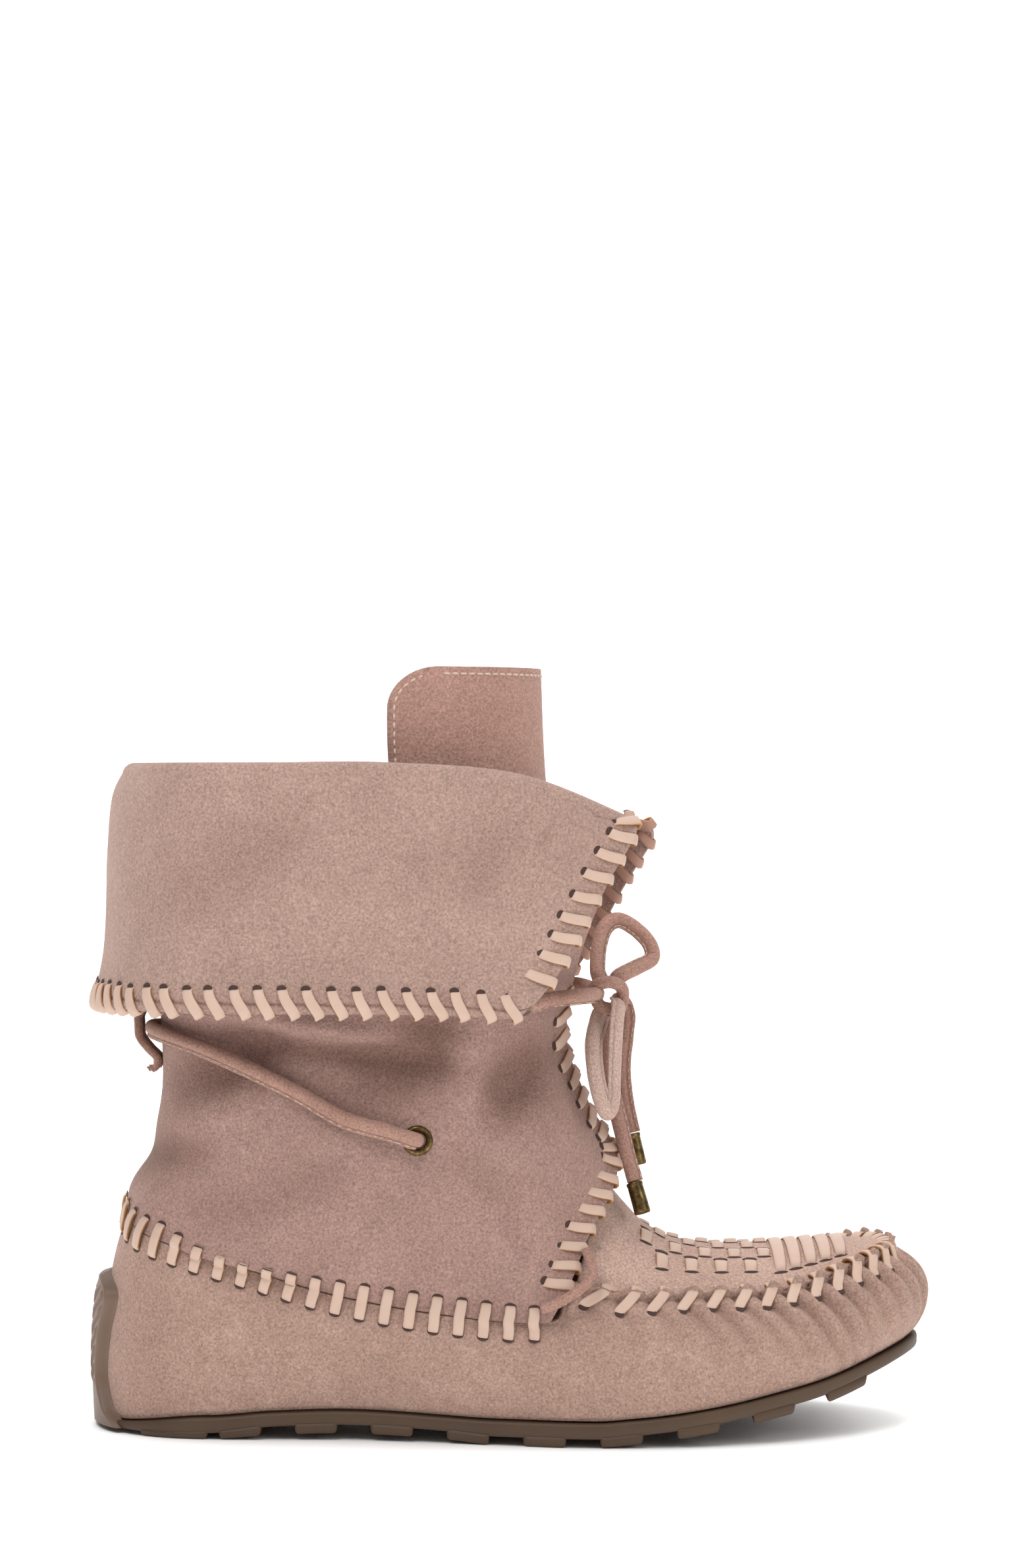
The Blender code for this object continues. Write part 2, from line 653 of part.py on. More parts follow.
def sheet_column(at):
    """The folded sheet at one ring place: up the shaft, over the fold, down the flap."""
    rings = [tuple(shaft_foot(at))]
    for level in SHAFT_LEVELS:
        rings.append(tuple(ring_point(level, at, lambda share: BOOT_HEIGHT * share)))
    shaft = [Vector(spline(rings, (len(rings) - 1) * k / (SHAFT_ROWS - 1))) for k in range(SHAFT_ROWS)]
    top = Vector(rings[-1])
    flap_rings = [ring_point(level, at, lambda share: BOOT_HEIGHT - CUFF_REACH * share) for level in CUFF_LEVELS]
    out = flap_rings[0] - top
    out.z = 0
    out.normalize()
    fold = []
    for k in range(1, 5):
        angle = math.pi * k / 5
        fold.append(top + out * FOLD_RADIUS * (1 - math.cos(angle)) + Vector((0, 0, FOLD_RADIUS * math.sin(angle))))
    first = top + out * FOLD_RADIUS * 2
    flap_rows = [tuple(first)] + [tuple(point) for point in flap_rings]
    flap = [Vector(spline(flap_rows, (len(flap_rows) - 1) * k / (FLAP_ROWS - 1))) for k in range(FLAP_ROWS)]
    return shaft, fold + flap


def make_shaft_and_cuff():
    columns = [sheet_column(at) for at in SHEET_PLACES]
    shaft_rows = [[column[0][k] for column in columns] for k in range(len(columns[0][0]) - 1)]
    lip = [[blend(column[0][-1], column[0][-2], CUFF_LIP) for column in columns],
           [column[0][-1] for column in columns]]
    cuff_rows = lip + [[column[1][k] for column in columns] for k in range(len(columns[0][1]))]
    mesh = bmesh.new()
    grow_rows(mesh, shaft_rows)
    face_away(mesh)
    shaft = add_object("shaft", mesh, material("suede_shaft", SUEDE, 0.95))
    thicken(shaft, SHAFT_WALL, -1)
    mesh = bmesh.new()
    grow_rows(mesh, cuff_rows)
    face_away(mesh)
    cuff = add_object("cuff", mesh, material("suede_cuff", (0.46, 0.33, 0.28), 0.95))
    thicken(cuff, CUFF_WALL, 1)
    return shaft, cuff


def make_tongue():
    mesh = bmesh.new()
    rows = []
    count = 12
    for k in range(count + 1):
        at = (len(TONGUE) - 1) * (1 - (1 - k / count) ** 1.8)
        middle_height, wing_height, front, wing, width = spline(TONGUE, at)
        top_left = TONGUE_HEIGHT * (1 - middle_height)
        trim = 0.0
        if top_left < TONGUE_CORNER:
            trim = TONGUE_CORNER - math.sqrt(TONGUE_CORNER ** 2 - (TONGUE_CORNER - top_left) ** 2)
        reach = SHAFT_LENGTH * (front - wing)
        swing = math.pi / 2 * (1 - trim / (reach * 1.3))
        row = []
        for j in range(15):
            angle = swing * (j - 7) / 7
            x = SHAFT_LENGTH * wing - SHAFT_BACK + reach * math.cos(angle)
            y = TONGUE_WIDTH / 2 * width * math.sin(angle)
            z = TONGUE_HEIGHT * blend(middle_height, wing_height, abs(math.sin(angle)) ** 1.8)
            row.append(Vector((x, y, z)))
        rows.append(row)
    grow_rows(mesh, rows)
    face_away(mesh)
    tongue = add_object("tongue", mesh, material("suede_tongue", SUEDE, 0.95))
    thicken(tongue, TONGUE_WALL, -1)
    return tongue


def make_eyelet(name, at, height, shaft, finish):
    """A pressed metal eyelet: flange outside, barrel through the wall, rolled lip inside."""
    point, normal = on_shaft(at, height), shaft_normal(at, height)
    hole, barrel, flange = EYELET_HOLE / 2, EYELET_BARREL / 2, EYELET_FLANGE / 2
    inner = barrel + 0.0009
    lip = EYELET_LIP
    face = EYELET_SEAT
    back = -(SHAFT_WALL + EYELET_SEAT)
    profile = ((hole, face + lip), (hole + 0.0007, face + lip * 1.7), (flange - 0.0006, face + lip * 1.4),
               (flange, face), (barrel, face), (barrel, back), (inner, back), (inner, back - lip),
               (hole, back - lip))
    turn = normal.to_track_quat("Z", "Y")
    mesh = bmesh.new()
    ring = [mesh.verts.new((radius, 0, rise)) for radius, rise in profile]
    edges = [mesh.edges.new((ring[i], ring[(i + 1) % len(ring)])) for i in range(len(ring))]
    bmesh.ops.spin(mesh, geom=ring + edges, cent=(0, 0, 0), axis=(0, 0, 1), dvec=(0, 0, 0),
                   angle=2 * math.pi, steps=16, use_merge=True)
    bmesh.ops.remove_doubles(mesh, verts=mesh.verts, dist=0.00001)
    bmesh.ops.recalc_face_normals(mesh, faces=mesh.faces)
    eyelet = add_object(name, mesh, finish)
    eyelet.location = point
    eyelet.rotation_mode = "QUATERNION"
    eyelet.rotation_quaternion = turn
    hole_mesh = bmesh.new()
    bmesh.ops.create_cone(hole_mesh, cap_ends=True, segments=20, radius1=barrel + FIT, radius2=barrel + FIT,
                          depth=0.012)
    cutter = add_object(name + "_hole", hole_mesh, finish)
    cutter.location = point
    cutter.rotation_mode = "QUATERNION"
    cutter.rotation_quaternion = turn
    cut(shaft, cutter)
    return eyelet


def make_cord(name, points, diameter, finish, per=2.2):
    """A round tube along a smooth curve through its route's points."""
    rows = [tuple(point) for point in points]
    length = sum((Vector(rows[i + 1]) - Vector(rows[i])).length for i in range(len(rows) - 1))
    count = min(max(int(length / (diameter * per)), 3), 78)
    data = bpy.data.curves.new(name, "CURVE")
    data.dimensions = "3D"
    data.bevel_depth = diameter / 2
    data.bevel_resolution = 2
    data.use_fill_caps = True
    line = data.splines.new("POLY")
    line.points.add(count)
    for k in range(count + 1):
        point = spline(rows, (len(rows) - 1) * k / count)
        line.points[k].co = (*point, 1.0)
    data.materials.append(finish)
    made = bpy.data.objects.new(name, data)
    bpy.context.scene.collection.objects.link(made)
    return made


def eyelet_arc(eyelet, toward):
    """The cord's first points out of an outer eyelet's mouth, over the flange towards a point."""
    ring_place, share_up = eyelet
    height = BOOT_HEIGHT * share_up
    point, normal = on_shaft(ring_place, height), shaft_normal(ring_place, height)
    along = Vector(toward) - point
    along = (along - normal * along.dot(normal)).normalized()
    return [point + along * reach + normal * stand for reach, stand in EYELET_ARC]


def mirrored(points):
    return [Vector((point[0], -point[1], point[2])) for point in points]


def back_run_points():
    """The drawcord on the outside of the shaft, from the outer rear eyelet to the inner one."""
    stand = LACE_DIAMETER / 2 + FIT
    start_place, start_height = BACK_RUN[0]
    near = eyelet_arc(BACK_EYELET, on_shaft(start_place, BOOT_HEIGHT * start_height))
    near += [on_shaft(at, BOOT_HEIGHT * height) + shaft_normal(at, BOOT_HEIGHT * height) * (stand + 0.0003)
            for at, height in BACK_RUN]
    return near + mirrored(reversed(near[:-1]))


def make_keeper(finish):
    """The strap on the back of the shaft that the drawcord runs under."""
    middle = BOOT_HEIGHT * KEEPER_HEIGHT
    lace = LACE_DIAMETER + 3 * FIT
    shape = ((-1.2, 0.0), (-1.0, 0.0), (-0.72, 0.5), (-0.30, 1.0), (0.30, 1.0), (0.72, 0.5), (1.0, 0.0), (1.2, 0.0))
    mesh = bmesh.new()
    rows = []
    for rise, stand in shape:
        height = middle + KEEPER_RISE * rise
        row = []
        for k in range(-2, 3):
            out = 2 * FIT + lace * stand
            point = on_shaft(6, height) + Vector((-out, 0, 0))
            row.append(Vector((point.x + k * k * 0.0001, KEEPER_WIDTH / 4 * k, point.z)))
        rows.append(row)
    grow_rows(mesh, rows)
    bmesh.ops.recalc_face_normals(mesh, faces=mesh.faces)
    if sum(face.normal.x for face in mesh.faces) > 0:
        bmesh.ops.reverse_faces(mesh, faces=mesh.faces)
    keeper = add_object("heel_keeper", mesh, finish)
    thicken(keeper, KEEPER_WALL, 1)
    return keeper


def make_aglet(name, tip_of, finish):
    """The metal tube on a lace end, in line with the cord's last stretch."""
    before, last = Vector(tip_of[-2]), Vector(tip_of[-1])
    along = (last - before).normalized()
    mesh = bmesh.new()
    bmesh.ops.create_cone(mesh, cap_ends=True, segments=16, radius1=AGLET_DIAMETER / 2,
                          radius2=AGLET_DIAMETER / 2, depth=AGLET_LENGTH)
    aglet = add_object(name, mesh, finish)
    aglet.location = last + along * (AGLET_LENGTH / 2 + FIT)
    aglet.rotation_mode = "QUATERNION"
    aglet.rotation_quaternion = along.to_track_quat("Z", "Y")
    return aglet


def make_knot(finish):
    mesh = bmesh.new()
    bmesh.ops.create_uvsphere(mesh, u_segments=14, v_segments=9, radius=1.0)
    bmesh.ops.scale(mesh, vec=KNOT_RADII, verts=mesh.verts)
    knot = add_object("lace_knot", mesh, finish)
    knot.location = KNOT
    return knot


make_sole()
make_upper()
make_insole()
shaft_object, cuff_object = make_shaft_and_cuff()
make_tongue()

brass = material("antique_brass", (0.20, 0.13, 0.06), 0.35, 1.0)
lace_suede = material("suede_lace", SUEDE, 0.95)
for side_name, mirror in (("outer", False), ("inner", True)):
    for place_name, (ring_place, share_up) in (("rear", BACK_EYELET), ("front", FRONT_EYELET)):
        make_eyelet("eyelet_%s_%s" % (place_name, side_name), 12 - ring_place if mirror else ring_place,
                    BOOT_HEIGHT * share_up, shaft_object, brass)

make_keeper(lace_suede)
make_cord("lace_back", back_run_points(), LACE_DIAMETER, lace_suede, per=1.4)
make_knot(lace_suede)
outer_front = eyelet_arc(FRONT_EYELET, NEAR_STRAND[0])
make_cord("lace_front_outer", outer_front + list(NEAR_STRAND), LACE_DIAMETER, lace_suede, per=1.4)
make_cord("lace_front_inner", mirrored(outer_front) + list(FAR_STRAND), LACE_DIAMETER, lace_suede, per=1.4)
make_cord("lace_loop_outer", NEAR_LOOP, LACE_DIAMETER, lace_suede, per=1.4)
make_cord("lace_loop_inner", FAR_LOOP, LACE_DIAMETER, lace_suede, per=1.4)
make_cord("lace_end_outer", NEAR_END, LACE_DIAMETER, lace_suede)
make_cord("lace_end_inner", FAR_END, LACE_DIAMETER, lace_suede)
make_aglet("aglet_outer", NEAR_END, brass)
make_aglet("aglet_inner", FAR_END, brass)
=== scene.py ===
"""The look of a right moccasin ankle boot in dusty rose suede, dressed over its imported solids.

Metres, +X to the toe, +Z up, -Y is the outer side, which faces the camera.
"""

import math
import random

import bmesh
import bpy
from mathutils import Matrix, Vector


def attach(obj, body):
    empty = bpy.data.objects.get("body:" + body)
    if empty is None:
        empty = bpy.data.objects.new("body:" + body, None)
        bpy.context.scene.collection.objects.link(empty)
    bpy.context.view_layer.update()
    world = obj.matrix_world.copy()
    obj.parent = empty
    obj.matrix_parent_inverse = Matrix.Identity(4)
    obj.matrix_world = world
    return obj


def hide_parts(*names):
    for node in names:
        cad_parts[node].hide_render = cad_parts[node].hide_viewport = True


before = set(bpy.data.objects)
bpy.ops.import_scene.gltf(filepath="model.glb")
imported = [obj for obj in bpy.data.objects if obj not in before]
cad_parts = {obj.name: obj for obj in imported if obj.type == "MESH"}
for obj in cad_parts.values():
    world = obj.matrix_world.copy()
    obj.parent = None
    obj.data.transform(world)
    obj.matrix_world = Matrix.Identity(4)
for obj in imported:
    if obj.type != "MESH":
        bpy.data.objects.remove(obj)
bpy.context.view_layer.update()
random.seed(11)

# Studio
# A level camera on the outer side, a white sweep under and behind the boot, a broad soft lamp above
# the heel and a weak one in front of the toe, as in a catalogue photograph.
CAMERA_PLACE = (0.1006, -1.100, 0.200)
CAMERA_LENS = 80.4
SWEEP_RADIUS = 0.5
SWEEP_DEPTH = 1.2
SWEEP_HALF_WIDTH = 3.0


def colour(code):
    """An sRGB hex colour as linear light."""
    parts = [int(code[k:k + 2], 16) / 255 for k in (1, 3, 5)]
    return (*(c / 12.92 if c <= 0.04045 else ((c + 0.055) / 1.055) ** 2.4 for c in parts), 1.0)


def add_node(tree, kind, inputs, **settings):
    """A shader node with its settings, its inputs set to values or linked to other nodes' outputs."""
    node = tree.nodes.new("ShaderNode" + kind)
    for name, value in settings.items():
        setattr(node, name, value)
    for key, value in inputs.items():
        if isinstance(value, bpy.types.NodeSocket):
            tree.links.new(value, node.inputs[key])
        else:
            node.inputs[key].default_value = value
    return node


def new_material(name):
    """A material with its node tree, its Principled shader and the object's own coordinates."""
    made = bpy.data.materials.new(name)
    made.use_nodes = True
    tree = made.node_tree
    return made, tree, tree.nodes["Principled BSDF"], add_node(tree, "TexCoord", {}).outputs["Object"]


def sweep_paper():
    """Matt white background paper that glows a little, with painted contact shade where the glow fades under the
    sole.
    """
    made, tree, shader, place = new_material("white_paper")
    grain = add_node(tree, "TexNoise", {"Vector": place, "Scale": 40.0})
    shade = add_node(tree, "MapRange", {"Value": grain.outputs["Fac"], "To Min": 0.90, "To Max": 0.93})
    tree.links.new(shade.outputs["Result"], shader.inputs["Base Color"])
    shader.inputs["Roughness"].default_value = 0.55
    shader.inputs["Emission Color"].default_value = (1.0, 1.0, 1.0, 1.0)
    # Painted contact shade: the paper's glow is turned down where ambient occlusion finds the sole close by.
    open_sky = add_node(tree, "AmbientOcclusion", {"Distance": 0.025}, samples=8)
    glow_with_painted_contact_shade = add_node(tree, "MapRange", {"Value": open_sky.outputs["AO"], "From Min": 0.25, "To Min": 0.0, "To Max": 0.60})
    tree.links.new(glow_with_painted_contact_shade.outputs["Result"], shader.inputs["Emission Strength"])
    return made


def grow_rows(mesh, rows, closed=False):
    """Lay the first row of points, extrude it to each next one, and give back every row of vertices."""
    line = [mesh.verts.new(point) for point in rows[0]]
    count = len(line)
    pairs = [(i, (i + 1) % count) for i in range(count if closed else count - 1)]
    edges = [mesh.edges.new((line[i], line[j])) for i, j in pairs]
    lines = [line]
    for row in rows[1:]:
        grown = bmesh.ops.extrude_edge_only(mesh, edges=edges)["geom"]
        fresh = {item for item in grown if isinstance(item, bmesh.types.BMVert)}
        line = [next(edge.other_vert(vert) for edge in vert.link_edges if edge.other_vert(vert) in fresh)
                for vert in line]
        for vert, point in zip(line, row):
            vert.co = point
        edges = [mesh.edges.get((line[i], line[j])) for i, j in pairs]
        lines.append(line)
    return lines


def add_object(name, mesh, *finishes):
    """Put a finished mesh into the scene, smooth, with its materials."""
    data = bpy.data.meshes.new(name)
    mesh.to_mesh(data)
    mesh.free()
    for finish in finishes:
        data.materials.append(finish)
    data.shade_smooth()
    made = bpy.data.objects.new(name, data)
    bpy.context.scene.collection.objects.link(made)
    return made


def build_studio():
    scene = bpy.context.scene
    scene.view_settings.view_transform = "Standard"
    world = bpy.data.worlds.new("studio")
    world.use_nodes = True
    world.node_tree.nodes["Background"].inputs["Color"].default_value = (1.0, 0.99, 0.98, 1.0)
    world.node_tree.nodes["Background"].inputs["Strength"].default_value = 0.36
    scene.world = world
    camera = bpy.data.objects.new("camera", bpy.data.cameras.new("camera"))
    camera.data.lens = CAMERA_LENS
    camera.location = CAMERA_PLACE
    camera.rotation_euler = (math.pi / 2, 0, 0)
    scene.collection.objects.link(camera)
    scene.camera = camera
    for name, place, aim, size, watts in (
            ("key", (-0.30, -0.72, 1.15), (0.08, 0.0, 0.10), 0.6, 7.4),
            ("front", (0.95, -0.65, 0.55), (0.15, 0.0, 0.06), 0.5, 2.6),
            ("top", (0.15, 0.12, 1.30), (0.10, 0.0, 0.10), 0.8, 7.5)):
        light = bpy.data.objects.new(name, bpy.data.lights.new(name, "AREA"))
        light.data.size = size
        light.data.energy = watts
        light.location = place
        light.rotation_euler = (Vector(aim) - Vector(place)).to_track_quat("-Z", "Y").to_euler()
        scene.collection.objects.link(light)
    profile = [(-2.0, 0.0), (-1.0, 0.0), (SWEEP_DEPTH, 0.0)]
    profile += [(SWEEP_DEPTH + SWEEP_RADIUS * math.sin(a), SWEEP_RADIUS * (1 - math.cos(a)))
                for a in (math.pi / 2 * k / 16 for k in range(1, 17))]
    profile.append((SWEEP_DEPTH + SWEEP_RADIUS, 3.0))
    mesh = bmesh.new()
    grow_rows(mesh, [[(x, y, z) for x in (-SWEEP_HALF_WIDTH, SWEEP_HALF_WIDTH)] for y, z in profile])
    floor = add_object("floor_sweep", mesh, sweep_paper())


build_studio()


# Leather, rubber and metal finishes
# The split suede is brushed, so its colour clouds over a hand's breadth and its nap catches light in
# fibres under half a millimetre. Strips are smooth undyed leather, metal is brass with a dark coat rubbed brighter
# in patches.
NAP = 0.00075
CLOUD = 0.030
STREAK = 0.007


def suede(name, light, mid, dark, nap=NAP, pale_nap=0.32):
    """Napped split leather, mixed towards its dark tone as painted shade where the mesh marks a dip or crease."""
    made, tree, shader, place = new_material(name)
    cloud = add_node(tree, "TexNoise", {"Vector": place, "Scale": 1 / CLOUD, "Detail": 3.0, "Roughness": 0.55})
    patch = add_node(tree, "TexNoise", {"Vector": place, "Scale": 1 / STREAK, "Detail": 4.0, "Roughness": 0.6})
    fibre = add_node(tree, "TexNoise", {"Vector": place, "Scale": 1 / nap, "Detail": 3.0, "Roughness": 0.7})
    broad = add_node(tree, "MapRange", {"Value": cloud.outputs["Fac"], "From Min": 0.20, "From Max": 0.62})
    body = add_node(tree, "Mix", {0: broad.outputs["Result"], 6: colour(dark), 7: colour(light)},
                    data_type="RGBA")
    brushed = add_node(tree, "MapRange", {"Value": patch.outputs["Fac"], "From Min": 0.25, "From Max": 0.60,
                                          "To Min": 0.25, "To Max": 0.9})
    even = add_node(tree, "Mix", {0: brushed.outputs["Result"], 6: body.outputs[2], 7: colour(mid)},
                    data_type="RGBA")
    # Painted shade: the mesh's shade value darkens the suede in gather valleys, creases, seam grooves and crevices.
    painted_shade_mask = add_node(tree, "Attribute", {}, attribute_name="painted_shade")
    painted_shade_mix = add_node(tree, "Mix", {0: painted_shade_mask.outputs["Fac"], 6: even.outputs[2], 7: colour(dark)},
                      data_type="RGBA")
    speck = add_node(tree, "MapRange", {"Value": fibre.outputs["Fac"], "From Min": 0.30, "From Max": 0.70,
                                        "To Min": 1 - pale_nap * 1.2, "To Max": 1 + pale_nap})
    flecked = add_node(tree, "VectorMath", {0: painted_shade_mix.outputs[2], "Scale": speck.outputs["Result"]},
                       operation="SCALE")
    height = add_node(tree, "Math", {0: patch.outputs["Fac"], 1: 1.6, 2: fibre.outputs["Fac"]},
                      operation="MULTIPLY_ADD")
    bump = add_node(tree, "Bump", {"Height": height.outputs[0], "Strength": 0.85, "Distance": nap * 0.7})
    tree.links.new(flecked.outputs[0], shader.inputs["Base Color"])
    tree.links.new(bump.outputs[0], shader.inputs["Normal"])
    shader.inputs["Roughness"].default_value = 0.95
    shader.inputs["Specular IOR Level"].default_value = 0.15
    shader.inputs["Sheen Weight"].default_value = 0.35
    shader.inputs["Sheen Roughness"].default_value = 0.45
    shader.inputs["Sheen Tint"].default_value = colour("#F1DCD2")
    return made


def smooth_leather(name, face, worn):
    """Undyed strip leather: close pores, faint grain, satin."""
    made, tree, shader, place = new_material(name)
    tone = add_node(tree, "TexNoise", {"Vector": place, "Scale": 1 / 0.006, "Detail": 3.0})
    pore = add_node(tree, "TexVoronoi", {"Vector": place, "Scale": 1 / 0.0005})
    skin = add_node(tree, "Mix", {0: tone.outputs["Fac"], 6: colour(worn), 7: colour(face)}, data_type="RGBA")
    bump = add_node(tree, "Bump", {"Height": pore.outputs["Distance"], "Strength": 0.15, "Distance": 0.0001})
    tree.links.new(skin.outputs[2], shader.inputs["Base Color"])
    tree.links.new(bump.outputs[0], shader.inputs["Normal"])
    shader.inputs["Roughness"].default_value = 0.52
    shader.inputs["Specular IOR Level"].default_value = 0.4
    return made


def raw_edge(name, light, dark):
    """The fuzzy tan cut edge of a leather strip."""
    made, tree, shader, place = new_material(name)
    fuzz = add_node(tree, "TexNoise", {"Vector": place, "Scale": 1 / 0.0004, "Detail": 2.0})
    tone = add_node(tree, "Mix", {0: fuzz.outputs["Fac"], 6: colour(dark), 7: colour(light)}, data_type="RGBA")
    bump = add_node(tree, "Bump", {"Height": fuzz.outputs["Fac"], "Strength": 0.7, "Distance": 0.0002})
    tree.links.new(tone.outputs[2], shader.inputs["Base Color"])
    tree.links.new(bump.outputs[0], shader.inputs["Normal"])
    shader.inputs["Roughness"].default_value = 0.9
    return made


def moulded_rubber(name, light, dark):
    """Brown moulded rubber, satin, clouded by handling and with a fine mould texture."""
    made, tree, shader, place = new_material(name)
    tone = add_node(tree, "TexNoise", {"Vector": place, "Scale": 1 / 0.020, "Detail": 4.0})
    grit = add_node(tree, "TexNoise", {"Vector": place, "Scale": 1 / 0.0005, "Detail": 2.0})
    body = add_node(tree, "Mix", {0: tone.outputs["Fac"], 6: colour(dark), 7: colour(light)},
                    data_type="RGBA")
    bump = add_node(tree, "Bump", {"Height": grit.outputs["Fac"], "Strength": 0.22, "Distance": 0.0002})
    gloss = add_node(tree, "MapRange", {"Value": tone.outputs["Fac"], "To Min": 0.42, "To Max": 0.62})
    tree.links.new(body.outputs[2], shader.inputs["Base Color"])
    tree.links.new(bump.outputs[0], shader.inputs["Normal"])
    tree.links.new(gloss.outputs["Result"], shader.inputs["Roughness"])
    shader.inputs["Specular IOR Level"].default_value = 0.4
    return made


def aged_brass():
    """Antique brass: a dark olive coat, rubbed brighter in patches."""
    made, tree, shader, place = new_material("antique_brass")
    wear = add_node(tree, "TexNoise", {"Vector": place, "Scale": 1 / 0.0022, "Detail": 5.0, "Roughness": 0.65})
    rubbed = add_node(tree, "MapRange", {"Value": wear.outputs["Fac"], "From Min": 0.42, "From Max": 0.66})
    body = add_node(tree, "Mix", {0: rubbed.outputs["Result"], 6: colour("#4E422A"), 7: colour("#94794C")},
                    data_type="RGBA")
    gloss = add_node(tree, "MapRange", {"Value": wear.outputs["Fac"], "To Min": 0.48, "To Max": 0.28})
    bump = add_node(tree, "Bump", {"Height": wear.outputs["Fac"], "Strength": 0.2, "Distance": 0.0001})
    tree.links.new(body.outputs[2], shader.inputs["Base Color"])
    tree.links.new(gloss.outputs["Result"], shader.inputs["Roughness"])
    tree.links.new(bump.outputs[0], shader.inputs["Normal"])
    shader.inputs["Metallic"].default_value = 1.0
    return made


def plain_matt(name, light, dark, scale):
    """A matt finish with a fine two-tone grain, for thread, the painted shade of holes and the sock."""
    made, tree, shader, place = new_material(name)
    grain = add_node(tree, "TexNoise", {"Vector": place, "Scale": 1 / scale, "Detail": 3.0})
    body = add_node(tree, "Mix", {0: grain.outputs["Fac"], 6: colour(dark), 7: colour(light)}, data_type="RGBA")
    bump = add_node(tree, "Bump", {"Height": grain.outputs["Fac"], "Strength": 0.3, "Distance": scale * 0.3})
    tree.links.new(body.outputs[2], shader.inputs["Base Color"])
    tree.links.new(bump.outputs[0], shader.inputs["Normal"])
    shader.inputs["Roughness"].default_value = 0.85
    return made


FOOT_SUEDE = suede("foot_suede", "#BB9D8F", "#A88A7C", "#86675C")
# Painted shade: the shaft's copy of the suede has a darker dark tone, for the shadow under the cuff.
SHAFT_SUEDE_SHADED = suede("shaft_suede_painted_shade", "#B6958A", "#A4847A", "#785A50")
CUFF_SUEDE = suede("cuff_suede", "#BB9D91", "#AC8F83", "#8B6C61")
TONGUE_SUEDE = suede("tongue_suede", "#BD978A", "#B08A7D", "#916E63")
# Painted light: the apron's copy of the suede is lighter, for the top light on its upward face.
APRON_SUEDE_LIT = suede("apron_suede_painted_light", "#CDB1A2", "#C0A193", "#9D7D70")
LACE_SUEDE = suede("lace_suede", "#BA9587", "#A98375", "#83604F", nap=0.0006)
# Painted light: the near bow loop gets a paler copy of the lace suede, for the light on its front strand.
LOOP_SUEDE_LIT = suede("lace_loop_painted_light", "#D2B7AA", "#C6A99B", "#A3827A", nap=0.0006)
STRIP = smooth_leather("strip_leather", "#CFB4A3", "#C2A492")
STRIP_SHADED = smooth_leather("strip_leather_shaded", "#B48D7B", "#A37C6B")
STRIP_EDGE = raw_edge("strip_cut_edge", "#C8965F", "#93653A")
# Painted shade: dark patches that stand for the shadow inside punched holes, slits and eyelet throats.
HOLE = plain_matt("stitch_hole_painted_shade", "#4E362F", "#33211C", 0.0006)
THREAD = plain_matt("pale_thread", "#E3CFC0", "#BFA594", 0.0004)
SOCK = plain_matt("sock_leather", "#CDAA92", "#B48F78", 0.003)
# Painted shade: the sole's copy of the rubber is darker, for the shadow along the sole.
SOLE_RUBBER_SHADED = moulded_rubber("sole_rubber_painted_shade", "#57422F", "#3F2C1E")
# Painted light: the heel counter's copy of the same rubber is lighter, where light falls on it.
COUNTER_RUBBER_LIT = moulded_rubber("counter_rubber_painted_light", "#82695A", "#634F41")
BRASS = aged_brass()

# The last and the patterns
# The boot's driving sizes and its tables of sections, the same as the solids were made from. Lengths
# are shares of LENGTH from the heel, widths of half of BALL_WIDTH, heights of INSTEP_HEIGHT.
LENGTH = 0.262
BALL_WIDTH = 0.090
INSTEP_HEIGHT = 0.078
HEEL_OVERHANG = 0.030
TOE_SPRING = 0.0214
BOOT_HEIGHT = 0.2055
SHAFT_LENGTH = 0.140
SHAFT_WIDTH = 0.082
SHAFT_BACK = 0.022
CUFF_REACH = 0.0745
TONGUE_HEIGHT = 0.236
TONGUE_WIDTH = 0.066
TONGUE_CORNER = 0.013
FOLD_RADIUS = 0.002
UPPER_WALL = 0.0017
SHAFT_WALL = 0.0016
CUFF_WALL = 0.0018
TONGUE_WALL = 0.0016
FIT = 0.0003
SOLE_SEAT = 0.0006
SHAFT_SEAT = 0.0007
SOLE_STACK = 0.0074
LUG_DEPTH = 0.0027
LUG_PITCH = 0.0232
LUG_LENGTH = 0.0135
LUG_START = 0.0112
HEEL_BLOCK = 0.022
SOLE_MARGIN = 0.0020
COUNTER_THICK = 0.0034
STATION_COLUMNS = ("feather_length", "feather_width", "seam_length", "seam_width", "seam_height",
                   "low_belly", "high_belly", "rise")
